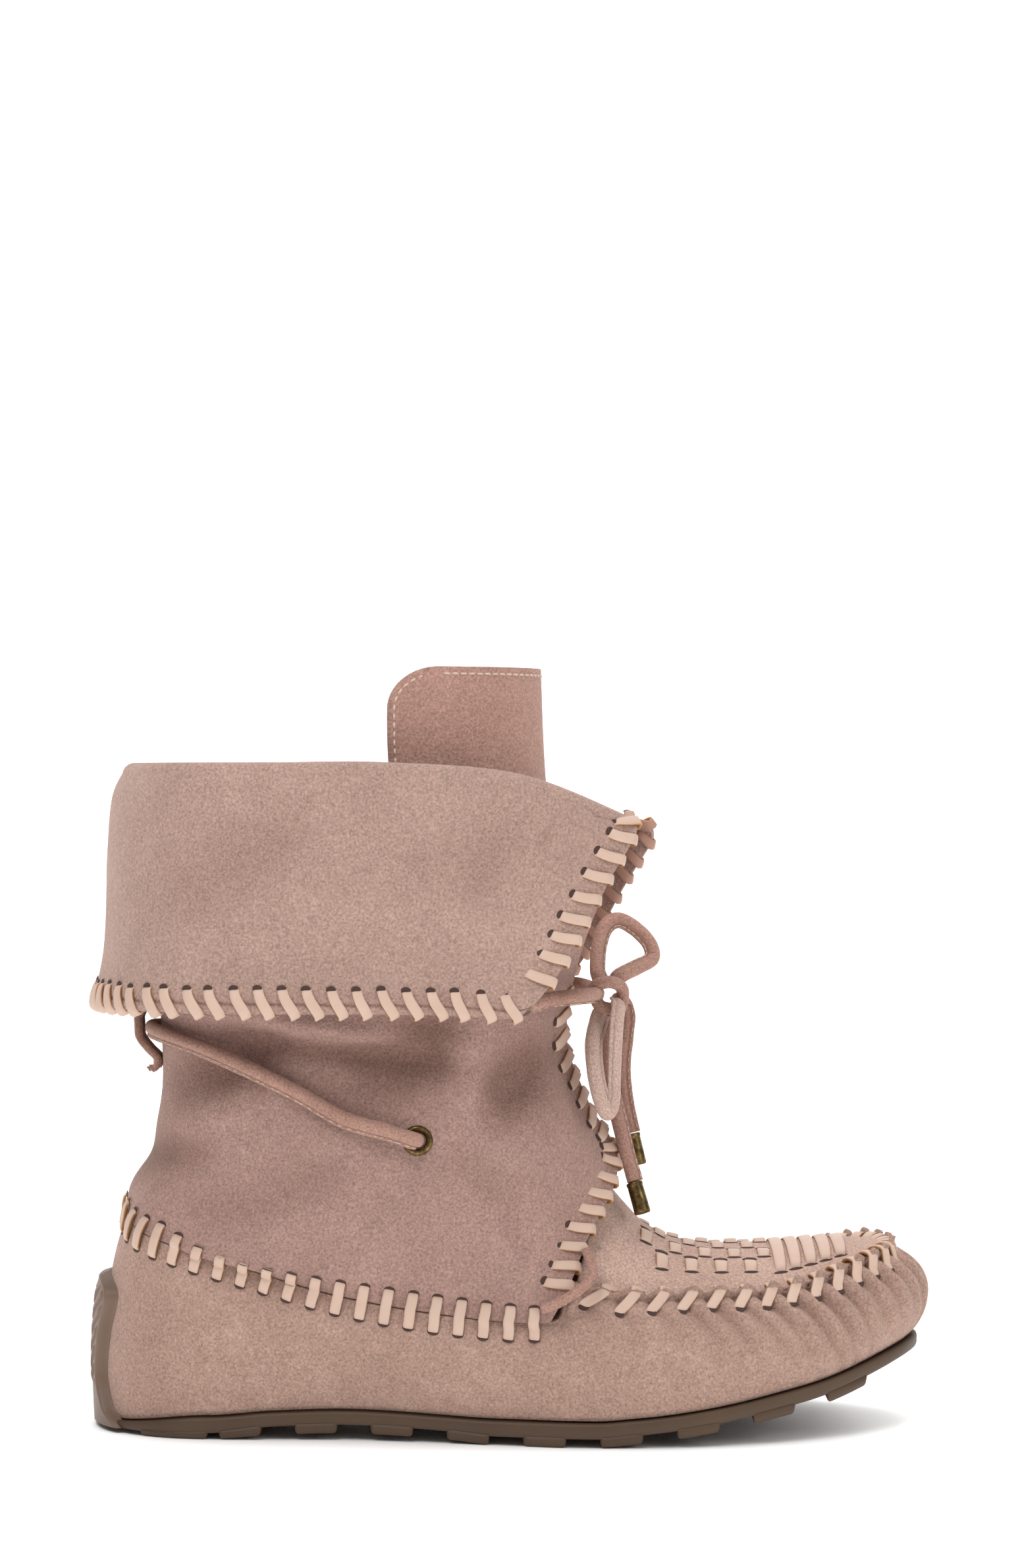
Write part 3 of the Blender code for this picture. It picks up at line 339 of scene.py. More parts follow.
STATIONS = (
    (0.013, 0.000, 0.040, 0.000, 0.846, 0.03, 0.15, 0.74),
    (0.036, -0.378, 0.059, -0.444, 0.795, 0.04, 0.10, 0.72),
    (0.099, -0.622, 0.115, -0.700, 0.737, 0.08, 0.06, 0.70),
    (0.198, -0.700, 0.198, -0.800, 0.660, 0.11, 0.05, 0.70),
    (0.313, -0.722, 0.305, -0.878, 0.564, 0.13, 0.06, 0.70),
    (0.439, -0.844, 0.435, -0.944, 0.495, 0.13, 0.08, 0.70),
    (0.542, -0.967, 0.546, -0.905, 0.474, 0.11, 0.12, 0.72),
    (0.580, -1.000, 0.571, -0.805, 0.580, 0.10, 0.21, 0.76),
    (0.626, -1.011, 0.615, -0.811, 0.555, 0.10, 0.22, 0.80),
    (0.687, -1.000, 0.672, -0.756, 0.547, 0.10, 0.25, 0.82),
    (0.756, -0.933, 0.737, -0.733, 0.554, 0.11, 0.23, 0.82),
    (0.821, -0.811, 0.802, -0.678, 0.559, 0.12, 0.21, 0.82),
    (0.878, -0.644, 0.859, -0.589, 0.594, 0.13, 0.20, 0.82),
    (0.927, -0.422, 0.905, -0.444, 0.645, 0.15, 0.21, 0.82),
    (0.964, -0.178, 0.939, -0.244, 0.674, 0.17, 0.26, 0.82),
    (0.979, 0.089, 0.956, 0.089, 0.682, 0.18, 0.29, 0.82),
    (0.966, 0.378, 0.941, 0.378, 0.686, 0.17, 0.27, 0.82),
    (0.927, 0.622, 0.908, 0.556, 0.667, 0.14, 0.24, 0.82),
    (0.874, 0.800, 0.863, 0.678, 0.635, 0.12, 0.22, 0.82),
    (0.813, 0.911, 0.802, 0.744, 0.609, 0.11, 0.23, 0.82),
    (0.748, 0.956, 0.737, 0.789, 0.596, 0.10, 0.23, 0.82),
    (0.687, 0.944, 0.672, 0.811, 0.590, 0.10, 0.22, 0.82),
    (0.626, 0.889, 0.615, 0.844, 0.603, 0.11, 0.19, 0.80),
    (0.580, 0.833, 0.571, 0.800, 0.620, 0.12, 0.17, 0.76),
    (0.542, 0.778, 0.546, 0.867, 0.526, 0.13, 0.11, 0.72),
    (0.439, 0.611, 0.435, 0.844, 0.538, 0.15, 0.10, 0.70),
    (0.313, 0.533, 0.305, 0.789, 0.603, 0.15, 0.09, 0.70),
    (0.198, 0.600, 0.198, 0.756, 0.679, 0.11, 0.06, 0.70),
    (0.099, 0.589, 0.115, 0.689, 0.744, 0.08, 0.06, 0.70),
    (0.036, 0.378, 0.059, 0.444, 0.795, 0.04, 0.10, 0.72),
)
SHAFT_STATION = 6
APRON_STATION = 7
TOE_STATION = 15
RIDGE_COLUMNS = ("step", "length", "height", "arch")
RIDGE = (
    (0.0, 0.608, 0.985, 1.5),
    (0.5, 0.633, 0.885, 1.7),
    (1.0, 0.660, 0.790, 2.0),
    (2.0, 0.699, 0.724, 2.2),
    (3.0, 0.750, 0.703, 2.2),
    (4.0, 0.809, 0.706, 2.2),
    (5.0, 0.863, 0.720, 2.2),
    (6.0, 0.909, 0.729, 2.2),
    (7.0, 0.939, 0.722, 2.2),
    (8.0, 0.956, 0.682, 2.2),
)
SOLE_COLUMNS = ("length", "lift", "stack", "lug")
SOLE = (
    (0.000, 0.09, 0.30, 0.5),
    (0.045, 0.00, 0.50, 0.5),
    (0.145, 0.00, 0.90, 0.7),
    (0.221, 0.07, 0.92, 1.0),
    (0.305, 0.10, 0.92, 1.0),
    (0.427, 0.05, 0.92, 1.0),
    (0.477, 0.00, 1.00, 1.0),
    (0.595, 0.00, 1.00, 1.0),
    (0.641, 0.05, 0.97, 1.0),
    (0.691, 0.12, 0.95, 1.0),
    (0.744, 0.215, 0.95, 1.0),
    (0.805, 0.36, 0.95, 1.0),
    (0.863, 0.51, 0.95, 1.0),
    (0.931, 0.77, 0.95, 1.0),
    (0.969, 0.93, 0.92, 1.0),
    (1.000, 1.03, 0.90, 1.0),
)


def fore(share):
    """A place along the boot from its share of the length."""
    return LENGTH * share - HEEL_OVERHANG


def blend(a, b, share):
    return a + (b - a) * share


def ease(low, high, value):
    """0 below low, 1 above high, and a soft slope between."""
    t = min(max((value - low) / (high - low), 0.0), 1.0)
    return t * t * (3 - 2 * t)


def spline(rows, at, closed=False):
    """Every column of a table of evenly stepped rows, read at a fractional row."""
    count = len(rows)
    low = math.floor(at)
    if not closed:
        low = min(max(low, 0), count - 2)
    t = at - low
    picked = []
    for k in range(-1, 3):
        place = (low + k) % count if closed else min(max(low + k, 0), count - 1)
        picked.append(rows[place])
    a = -0.5 * t + t * t - 0.5 * t ** 3
    b = 1.0 - 2.5 * t * t + 1.5 * t ** 3
    c = 0.5 * t + 2.0 * t * t - 1.5 * t ** 3
    d = 0.5 * (t ** 3 - t * t)
    return tuple(a * p + b * q + c * r + d * s for p, q, r, s in zip(*picked))


def read(table, columns, name, at):
    """One column against the first, as a curve that never overshoots between its rows."""
    column = columns.index(name)
    xs = [row[0] for row in table]
    ys = [row[column] for row in table]
    if at <= xs[0]:
        return ys[0]
    if at >= xs[-1]:
        return ys[-1]
    i = max(k for k in range(len(xs) - 1) if xs[k] <= at)
    slopes = [(ys[k + 1] - ys[k]) / (xs[k + 1] - xs[k]) for k in range(len(xs) - 1)]

    def tangent(k):
        if k == 0 or k == len(xs) - 1:
            return slopes[min(k, len(slopes) - 1)]
        before, after = slopes[k - 1], slopes[k]
        return 0.0 if before * after <= 0 else 2 * before * after / (before + after)

    step = xs[i + 1] - xs[i]
    t = (at - xs[i]) / step
    return (ys[i] * (1 + 2 * t) * (1 - t) ** 2 + ys[i + 1] * t * t * (3 - 2 * t)
            + step * (tangent(i) * t * (1 - t) ** 2 - tangent(i + 1) * t * t * (1 - t)))


def tread_height(x):
    return TOE_SPRING * read(SOLE, SOLE_COLUMNS, "lift", (x + HEEL_OVERHANG) / LENGTH)


def sole_line(x):
    """Height of the rubber's upper edge at a place along the boot."""
    return tread_height(x) + SOLE_STACK * read(SOLE, SOLE_COLUMNS, "stack", (x + HEEL_OVERHANG) / LENGTH)


def station(at):
    """The foot's station as a record of named columns."""
    return dict(zip(STATION_COLUMNS, spline(STATIONS, at, closed=True)))


def feather(at):
    """A point on the foot's lower edge."""
    row = station(at)
    x = fore(row["feather_length"])
    return Vector((x, BALL_WIDTH / 2 * row["feather_width"], sole_line(x) + SOLE_SEAT))


def outward(at):
    """Level direction away from the foot at a station."""
    along = feather(at + 0.2) - feather(at - 0.2)
    return Vector((along.y, -along.x, 0)).normalized()


def seam(at):
    """A point on the foot's upper edge: the shaft seam and, round the toe, the apron seam."""
    row = station(at)
    return Vector((fore(row["seam_length"]), BALL_WIDTH / 2 * row["seam_width"],
                   INSTEP_HEIGHT * row["seam_height"]))


def foot_column(at):
    """The four points that shape the wrap's wall at a station, from the feather to the seam."""
    row = station(at)
    low, top, out = feather(at), seam(at), outward(at)
    rise = top.z - low.z
    near_low = low + out * BALL_WIDTH / 2 * row["low_belly"] + Vector((0, 0, rise * 0.38))
    near_top = top + out * BALL_WIDTH / 2 * row["high_belly"]
    near_top.z = low.z + rise * row["rise"]
    return low, near_low, near_top, top


def on_column(column, share):
    low, near_low, near_top, top = column
    back = 1 - share
    return low * back ** 3 + near_low * 3 * back * back * share + near_top * 3 * back * share ** 2 + top * share ** 3


def foot_wall(at, share):
    """A point on the outside of the foot's wrap, from the feather (0) to the seam (1)."""
    return on_column(foot_column(at), share)


def apron(step, share):
    """A point on the apron, a step from its rear corners and a share of the way from outer to inner side."""
    near, far = seam(APRON_STATION + step), seam(2 * TOE_STATION - APRON_STATION - step)
    middle = Vector((fore(read(RIDGE, RIDGE_COLUMNS, "length", step)), (near.y + far.y) / 2,
                     INSTEP_HEIGHT * read(RIDGE, RIDGE_COLUMNS, "height", step)))
    crown = 1 - abs(2 * share - 1) ** read(RIDGE, RIDGE_COLUMNS, "arch", step)
    return near.lerp(far, share) + (middle - (near + far) / 2) * crown


# Ways of working
# Every suede panel is a fine sheet, pressed out or in along its own normal for gathers and creases,
# then given its thickness. Strips, laces and thread are a cross-section grown along a path.
def press(rows, heights, closed=False):
    """Move each point of a sheet along its normal by a height from a table of the same shape."""
    count = len(rows[0])
    moved = []
    for k, row in enumerate(rows):
        low, high = rows[max(k - 1, 0)], rows[min(k + 1, len(rows) - 1)]
        line = []
        for j, point in enumerate(row):
            before = row[(j - 1) % count if closed else max(j - 1, 0)]
            after = row[(j + 1) % count if closed else min(j + 1, count - 1)]
            normal = (after - before).cross(high[j] - low[j]).normalized()
            line.append(point + normal * heights[k][j])
        moved.append(line)
    return moved


def sheet(name, rows, painted_shades, finish, wall, closed=False):
    """A leather panel: a fine grid with its painted-shade values, turned to face out and given its wall."""
    mesh = bmesh.new()
    layer = mesh.verts.layers.float.new("painted_shade")
    for line, values in zip(grow_rows(mesh, rows, closed), painted_shades):
        for vert, value in zip(line, values):
            vert[layer] = value
    bmesh.ops.recalc_face_normals(mesh, faces=mesh.faces)
    middle = sum((vert.co for vert in mesh.verts), Vector()) / len(mesh.verts)
    if sum(f.normal.dot(f.calc_center_median() - middle) * f.calc_area() for f in mesh.faces) < 0:
        bmesh.ops.reverse_faces(mesh, faces=mesh.faces)
    made = add_object(name, mesh, finish)
    solid = made.modifiers.new("wall", "SOLIDIFY")
    solid.thickness = wall
    solid.offset = -1
    return made


def place_piece(piece, slot, *nodes):
    """Fix a piece to the boot and hide the solids it stands for; the slot is not used."""
    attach(piece, "root")
    if nodes:
        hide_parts(*nodes)


def smooth_path(points, count):
    rows = [tuple(point) for point in points]
    return [Vector(spline(rows, (len(rows) - 1) * k / count)) for k in range(count + 1)]


def measured(points, distance):
    """The point a distance along a line of points."""
    for here, after in zip(points, points[1:]):
        step = (after - here).length
        if distance <= step:
            return here.lerp(after, distance / step)
        distance -= step
    return points[-1]


def path_frames(path, side):
    """For each point of a path, the side direction carried along it without twisting, and the other one."""
    frames = []
    for k, point in enumerate(path):
        tangent = (path[min(k + 1, len(path) - 1)] - path[max(k - 1, 0)]).normalized()
        side = (side - tangent * side.dot(tangent)).normalized()
        frames.append((side, tangent.cross(side)))
    return frames


def sweep(mesh, path, profile, side, taper=None):
    """Grow a closed cross-section along a path and close its ends. The profile's first number runs along
    the side direction. Gives back the rows of vertices."""
    rows = []
    for k, (point, (first, second)) in enumerate(zip(path, path_frames(path, side))):
        size = taper[k] if taper else 1.0
        rows.append([point + first * a * size + second * b * size for a, b in profile])
    lines = grow_rows(mesh, rows, closed=True)
    for line in (lines[0], lines[-1]):
        bmesh.ops.contextual_create(mesh, geom=line)
    return lines


STRIP_WIDTH = 0.0033
STRIP_THICK = 0.0010
STRIP_SECTION = ((-0.50, -0.45), (-0.50, 0.20), (-0.43, 0.46), (-0.20, 0.54), (0.20, 0.54), (0.43, 0.46),
                 (0.50, 0.20), (0.50, -0.45))
STRIP_POINTS = 14


def strip(mesh, points, width, along, facing, thick=STRIP_THICK):
    """One pass of lacing strip, its smooth face turned to the facing side, raw at its two cut edges."""
    before = set(mesh.faces)
    path = smooth_path(points, STRIP_POINTS)
    if (path[6] - path[2]).cross(along).dot(facing) < 0:
        along = -along
    pinch = [blend(0.80, 1.0, math.sin(math.pi * k / STRIP_POINTS) ** 0.5) for k in range(STRIP_POINTS + 1)]
    section = [(a * width, b * thick) for a, b in STRIP_SECTION]
    lines = sweep(mesh, path, section, along, pinch)
    cut = {vert for line in lines for i, vert in enumerate(line) if i in (0, 1, 6, 7)}
    for face in set(mesh.faces) - before:
        if all(vert in cut for vert in face.verts):
            face.material_index = 1


def hole(mesh, centre, normal, along, length, width):
    """Painted shade of a punched slot: a flat, dark, rounded patch laid just over the leather."""
    across = normal.cross(along).normalized()
    rings = []
    for size, rise in ((1.0, -0.0001), (0.8, 0.00012), (0.05, 0.00014)):
        rings.append([centre + along * math.cos(a) * length / 2 * size + across * math.sin(a) * width / 2 * size
                      + normal * rise for a in (2 * math.pi * k / 12 for k in range(12))])
    lines = grow_rows(mesh, rings, closed=True)
    bmesh.ops.contextual_create(mesh, geom=lines[-1])


def finish_strips(name, mesh, face=STRIP, slot="lining"):
    bmesh.ops.recalc_face_normals(mesh, faces=mesh.faces)
    place_piece(add_object(name, mesh, face, STRIP_EDGE), slot)


def finish_hole_shades(name, mesh):
    bmesh.ops.recalc_face_normals(mesh, faces=mesh.faces)
    place_piece(add_object(name, mesh, HOLE), "suede")


# Lace
# A suede strap rolled round a cord core and stitched along its edge, so it is round with a narrow flange.
# The drawcord runs under the keeper, through the rear eyelets and out of the front ones to a bow.
LACE_DIAMETER = 0.0048
AGLET_DIAMETER = 0.0052
AGLET_LENGTH = 0.0100
EYELET_ARC = ((0.0, -0.0040), (0.0, -0.0005), (0.0, 0.0021), (0.0003, 0.0037), (0.0022, 0.0056),
              (0.0058, 0.0059), (0.0105, 0.0046))
BACK_EYELET = (1.72, 0.448)
FRONT_EYELET = (0.72, 0.650)
BACK_RUN = ((2.36, 0.482), (2.80, 0.518), (3.40, 0.554), (4.00, 0.580), (4.60, 0.594), (5.30, 0.602),
            (6.00, 0.604))
KNOT = (0.1305, -0.0040, 0.1335)
NEAR_STRAND = ((0.1200, -0.0290, 0.1352), (0.1258, -0.0200, 0.1352), (0.1266, -0.0135, 0.1349),
               (0.1277, -0.0094, 0.1344))
FAR_STRAND = ((0.1205, 0.0275, 0.1358), (0.1258, 0.0150, 0.1354), (0.1267, 0.0060, 0.1346),
              (0.1280, 0.0016, 0.1341))
NEAR_LOOP = ((0.1285, -0.0066, 0.1288), (0.1276, -0.0077, 0.1267), (0.1258, -0.0150, 0.1195),
             (0.1264, -0.0197, 0.1100), (0.1283, -0.0208, 0.1022), (0.1304, -0.0200, 0.0985),
             (0.1322, -0.0182, 0.1015), (0.1326, -0.0160, 0.1090), (0.1330, -0.0142, 0.1180),
             (0.1336, -0.0124, 0.1268), (0.1341, -0.0106, 0.1307), (0.1335, -0.0088, 0.1315))
FAR_LOOP = ((0.1339, -0.0034, 0.1379), (0.1354, -0.0031, 0.1399), (0.1410, 0.0020, 0.1424),
            (0.1455, 0.0065, 0.1448), (0.1448, 0.0095, 0.1495), (0.1400, 0.0115, 0.1545),
            (0.1345, 0.0110, 0.1572), (0.1302, 0.0085, 0.1550), (0.1280, 0.0045, 0.1490),
            (0.1274, 0.0005, 0.1430), (0.1276, -0.0011, 0.1406), (0.1285, -0.0020, 0.1384))
NEAR_END = ((0.1316, -0.0026, 0.1282), (0.1320, -0.0022, 0.1258), (0.1306, -0.0044, 0.1170),
            (0.1314, -0.0060, 0.1060), (0.1340, -0.0080, 0.0950), (0.1364, -0.0100, 0.0850),
            (0.1388, -0.0120, 0.0765))
FAR_END = ((0.1341, 0.0005, 0.1318), (0.1356, 0.0024, 0.1311), (0.1370, 0.0034, 0.1270),
           (0.1364, 0.0028, 0.1200), (0.1354, 0.0020, 0.1110), (0.1362, 0.0008, 0.1010),
           (0.1385, 0.0000, 0.0905))
ROLL_RADIUS = 0.0021
FLANGE_REACH = 0.0031
FLANGE_HALF = 0.00055
THREAD_PITCH = 0.0026

RING = (
    (1.00, 0.00, 1.00, 0.00),
    (0.78, 0.94, 0.21, 0.00),
    (0.52, 1.00, 0.00, 0.00),
    (0.31, 0.95, 0.00, 0.10),
    (0.147, 0.78, 0.00, 0.35),
    (0.040, 0.44, 0.00, 0.80),
    (0.00, 0.00, 0.00, 1.00),
)
LEVEL_COLUMNS = ("front_height", "side_height", "back_height", "front", "back", "front_width", "width")
SHAFT_LEVELS = (
    (0.233, 0.252, 0.345, 1.002, 0.017, 0.965, 1.03),
    (0.297, 0.302, 0.370, 1.043, 0.026, 0.74, 1.01),
    (0.399, 0.404, 0.428, 1.114, 0.064, 0.42, 1.00),
    (0.487, 0.487, 0.491, 1.050, 0.088, 0.37, 0.95),
    (0.594, 0.594, 0.584, 1.000, 0.093, 0.42, 0.93),
    (0.730, 0.730, 0.720, 1.036, 0.079, 0.54, 1.05),
    (0.857, 0.871, 0.866, 1.107, 0.057, 0.66, 1.15),
    (0.905, 0.987, 0.987, 1.136, 0.046, 0.73, 1.18),
)


def ring_point(level, at, height_of):
    """A point of one ring; at runs from the outer front edge (0) round the back (6) to the inner one (12)."""
    row = dict(zip(LEVEL_COLUMNS, level))
    inner = at > 6
    place = 12 - at if inner else at
    back = SHAFT_LENGTH * row["back"] - SHAFT_BACK
    front = SHAFT_LENGTH * row["front"] - SHAFT_BACK
    wide = SHAFT_WIDTH / 2 * row["width"]
    edge = SHAFT_WIDTH / 2 * row["front_width"]
    points = []
    for k, (length, width, near_front, near_back) in enumerate(RING):
        y = edge if k == 0 else wide * width
        z = (height_of(row["side_height"]) * (1 - near_front - near_back)
             + height_of(row["front_height"]) * near_front + height_of(row["back_height"]) * near_back)
        points.append((blend(back, front, length), -y, z))
    mirrored = [(x, -y, z) for x, y, z in reversed(points[:-1])]
    x, y, z = spline(points + mirrored, place)
    return Vector((x, -y if inner else y, z))


def shaft_foot(at):
    """The shaft's lower edge: butted on the foot's upper edge, its front corners lapped over it."""
    lap = max(0.0, 1 - min(at, 12 - at)) * (SHAFT_WALL + SHAFT_SEAT)
    return seam(SHAFT_STATION - at) + outward(SHAFT_STATION - at) * lap + Vector((0, 0, SHAFT_SEAT))


def shaft_rings(at):
    return [shaft_foot(at)] + [ring_point(level, at, lambda share: BOOT_HEIGHT * share) for level in SHAFT_LEVELS]


def on_shaft(at, height):
    """A point on the shaft's outer face at a ring place and a height."""
    rings = [tuple(point) for point in shaft_rings(at)]
    low, high = 0.0, len(rings) - 1.0
    for _ in range(24):
        middle = (low + high) / 2
        if spline(rings, middle)[2] < height:
            low = middle
        else:
            high = middle
    return Vector(spline(rings, (low + high) / 2))


def shaft_normal(at, height):
    """Direction straight out of the shaft's face."""
    along = on_shaft(at + 0.1, height) - on_shaft(at - 0.1, height)
    rise = on_shaft(at, height + 0.002) - on_shaft(at, height - 0.002)
    normal = rise.cross(along).normalized()
    away = on_shaft(at, height) - Vector((0.055, 0, height))
    return normal if normal.dot(away) > 0 else -normal


def lace_section():
    """The lace cut across: a round roll with its two layers stitched to a flange below."""
    opening = math.asin(FLANGE_HALF / ROLL_RADIUS)
    section = [(ROLL_RADIUS * math.cos(a), ROLL_RADIUS * math.sin(a))
               for a in (opening + (2 * math.pi - 2 * opening) * k / 15 for k in range(16))]
    return section + [(FLANGE_REACH * 0.92, -FLANGE_HALF), (FLANGE_REACH, 0.0), (FLANGE_REACH * 0.92, FLANGE_HALF)]


def eyelet_arc(eyelet, toward):
    """The lace's first points up through an outer eyelet and over its flange towards a point."""
    ring_place, share_up = eyelet
    height = BOOT_HEIGHT * share_up
    point, normal = on_shaft(ring_place, height), shaft_normal(ring_place, height)
    along = Vector(toward) - point
    along = (along - normal * along.dot(normal)).normalized()
    return [point + along * reach + normal * stand for reach, stand in EYELET_ARC]


def mirrored(points):
    return [Vector((point[0], -point[1], point[2])) for point in points]


def thread_row(mesh, path, offset, side, pitch=THREAD_PITCH):
    """Short machine stitches sunk in a row beside a path."""
    frames = path_frames(path, side)
    travelled, wanted = 0.0, pitch
    for k in range(1, len(path)):
        step = (path[k] - path[k - 1]).length
        travelled += step
        if travelled < wanted or k + 1 >= len(path):
            continue
        wanted += pitch
        first, second = frames[k]
        along = (path[k + 1] - path[k - 1]).normalized()
        for face in (1, -1):
            centre = path[k] + first * offset[0] + second * offset[1] * face
            points = [centre - along * pitch * 0.30 - second * face * 0.0002, centre,
                      centre + along * pitch * 0.30 - second * face * 0.0002]
            sweep(mesh, points, [(0.00016 * math.cos(a), 0.00016 * math.sin(a))
                                 for a in (math.pi / 3 * j for j in range(6))], first)


def lace(name, points, side, finish=LACE_SUEDE, widen=1.0):
    """A length of lace along its route, with the flange on the given side, and its row of stitches."""
    length = sum((Vector(points[i + 1]) - Vector(points[i])).length for i in range(len(points) - 1))
    path = smooth_path(points, max(int(length / 0.0009), 12))
    mesh = bmesh.new()
    layer = mesh.verts.layers.float.new("painted_shade")
    wander = random.Random(name)
    rough = [1.0 + 0.03 * math.sin(k * 0.21 + wander.random() * 0.6) + wander.uniform(-0.012, 0.012)
             for k in range(len(path))]
    section = [(a * widen, b / widen ** 0.5) for a, b in lace_section()]
    lines = sweep(mesh, path, section, side, rough)
    for line in lines:
        for i, vert in enumerate(line):
            # Painted shade in the crevice where the roll meets the flange.
            vert[layer] = 0.55 if i in (0, 15, 16) else 0.0
    bmesh.ops.recalc_face_normals(mesh, faces=mesh.faces)
    made = add_object(name, mesh, finish)
    threads = bmesh.new()
    thread_row(threads, path, (FLANGE_REACH * 0.80 * widen, FLANGE_HALF * 1.05), side)
    seam_thread = add_object(name + "_thread", threads, THREAD)
    place_piece(seam_thread, "lace")
    return made, path, seam_thread


def knot_turns():
    """The bow's knot: the lace's turn over the front and the one that grips both loops."""
    centre = Vector(KNOT)
    turns = []
    for name, points, side in (
            ("knot_over", ((-0.0045, -0.0045, 0.0022), (-0.0030, -0.0052, 0.0040), (0.0012, -0.0045, 0.0048),
                           (0.0046, -0.0028, 0.0030), (0.0050, -0.0012, -0.0010), (0.0036, -0.0004, -0.0044),
                           (0.0010, 0.0004, -0.0052)), (0, 0, -1)),
            ("knot_under", ((-0.0042, 0.0020, 0.0030), (-0.0035, -0.0020, 0.0000), (-0.0022, -0.0040, -0.0026),
                            (0.0008, -0.0040, -0.0036), (0.0032, -0.0016, -0.0030), (0.0036, 0.0028, -0.0006)),
             (0, 0, 1))):
        path = smooth_path([centre + Vector(point) for point in points], 24)
        mesh = bmesh.new()
        sweep(mesh, path, [(ROLL_RADIUS * 0.95 * math.cos(a), ROLL_RADIUS * 0.95 * math.sin(a))
                           for a in (math.pi / 8 * k for k in range(16))], Vector(side))
        bmesh.ops.recalc_face_normals(mesh, faces=mesh.faces)
        turns.append(add_object(name, mesh, LACE_SUEDE))
    return turns


def aglet(name, tip_of):
    """A crimped brass tube on a lace end."""
    before, last = Vector(tip_of[-2]), Vector(tip_of[-1])
    along = (last - before).normalized()
    radius = AGLET_DIAMETER / 2
    start = last + along * FIT
    profile = ((0.0, radius * 0.90), (0.0002, radius * 1.0), (0.0009, radius * 1.0), (0.0013, radius * 0.93),
               (0.0018, radius * 0.95), (0.0080, radius * 0.98), (0.0094, radius * 1.0), (0.0099, radius * 0.93),
               (0.0100, radius * 0.80))
    side = along.orthogonal().normalized()
    other = along.cross(side)
    mesh = bmesh.new()
    lines = grow_rows(mesh, [[start + along * rise + side * size * math.cos(a) + other * size * math.sin(a)
                              for a in (2 * math.pi * k / 36 for k in range(36))] for rise, size in profile],
                      closed=True)
    for line in (lines[0], lines[-1]):
        bmesh.ops.contextual_create(mesh, geom=line)
    bmesh.ops.recalc_face_normals(mesh, faces=mesh.faces)
    return add_object(name, mesh, BRASS)


def build_lace():
    stand = LACE_DIAMETER / 2 + FIT
    near = eyelet_arc(BACK_EYELET, on_shaft(BACK_RUN[0][0], BOOT_HEIGHT * BACK_RUN[0][1]))
    near += [on_shaft(at, BOOT_HEIGHT * up) + shaft_normal(at, BOOT_HEIGHT * up) * (stand + 0.0003)
             for at, up in BACK_RUN]
    back, _, _ = lace("drawcord", near + mirrored(reversed(near[:-1])), Vector((-0.4, 0, -0.9)))
    place_piece(back, "lace", "lace_back")
    start = eyelet_arc(FRONT_EYELET, NEAR_STRAND[0])
    outer, _, _ = lace("strand_outer", start + [Vector(p) for p in NEAR_STRAND], Vector((0.3, 0, -0.9)))
    place_piece(outer, "lace", "lace_front_outer")
    inner, _, _ = lace("strand_inner", mirrored(start) + [Vector(p) for p in FAR_STRAND], Vector((0.3, 0, -0.9)))
    place_piece(inner, "lace", "lace_front_inner")
    for turn in knot_turns():
        place_piece(turn, "lace", "lace_knot")
    for name, route, side, finish, widen, node in (
            ("bow_loop_outer", NEAR_LOOP, (0.9, 0.2, 0.3), LOOP_SUEDE_LIT, 1.12, "lace_loop_outer"),
            ("bow_loop_inner", FAR_LOOP, (-0.4, 0.2, 0.9), LACE_SUEDE, 1.0, "lace_loop_inner")):
        made, path, threads = lace(name, route, Vector(side), finish, widen)
        place_piece(made, "lace", node)
    for name, route, side, node, tip in (
            ("bow_end_outer", NEAR_END, (1.0, 0.3, 0.1), "lace_end_outer", "aglet_outer"),
            ("bow_end_inner", FAR_END, (1.0, 0.0, 0.2), "lace_end_inner", "aglet_inner")):
        made, path, threads = lace(name, route, Vector(side))
        place_piece(made, "lace", node)
        metal = aglet(tip + "_tube", route)
        place_piece(metal, "metal", tip)


build_lace()


# Sole
# A moulded rubber unit: a thin slab that rolls up at the toe, rows of lugs under it in three blocks,
# and a counter that climbs the heel with slanting ribs. It is cemented under the suede.
COUNTER_COLUMNS = ("height", "span")
COUNTER = (
    (0.020, 1.25),
    (0.090, 0.85),
    (0.230, 0.58),
    (0.380, 0.66),
    (0.520, 0.80),
    (0.590, 0.62),
    (0.620, 0.34),
)
LUG_BLOCKS = ((0.0, 0.30), (0.35, 0.65), (0.70, 1.0))
SOLE_EDGE = 0.0009
RIB_PITCH = 0.0052
RIB_HEIGHT = 0.0006


def outline(at, margin):
    """A point on the foot's outline in plan, grown by a margin."""
    point = feather(at) + outward(at) * margin
    return Vector((point.x, point.y, 0))


def side_points(margin, inner):
    return [outline(-TOE_STATION * k / 240 if inner else TOE_STATION * k / 240, margin) for k in range(241)]


def edge_at(points, x):
    """Where an outline lies across the boot at a place along it."""
    for last, point in zip(points, points[1:]):
        if last.x <= x <= point.x:
            return blend(last.y, point.y, (x - last.x) / max(point.x - last.x, 1e-9))
    return points[-1].y


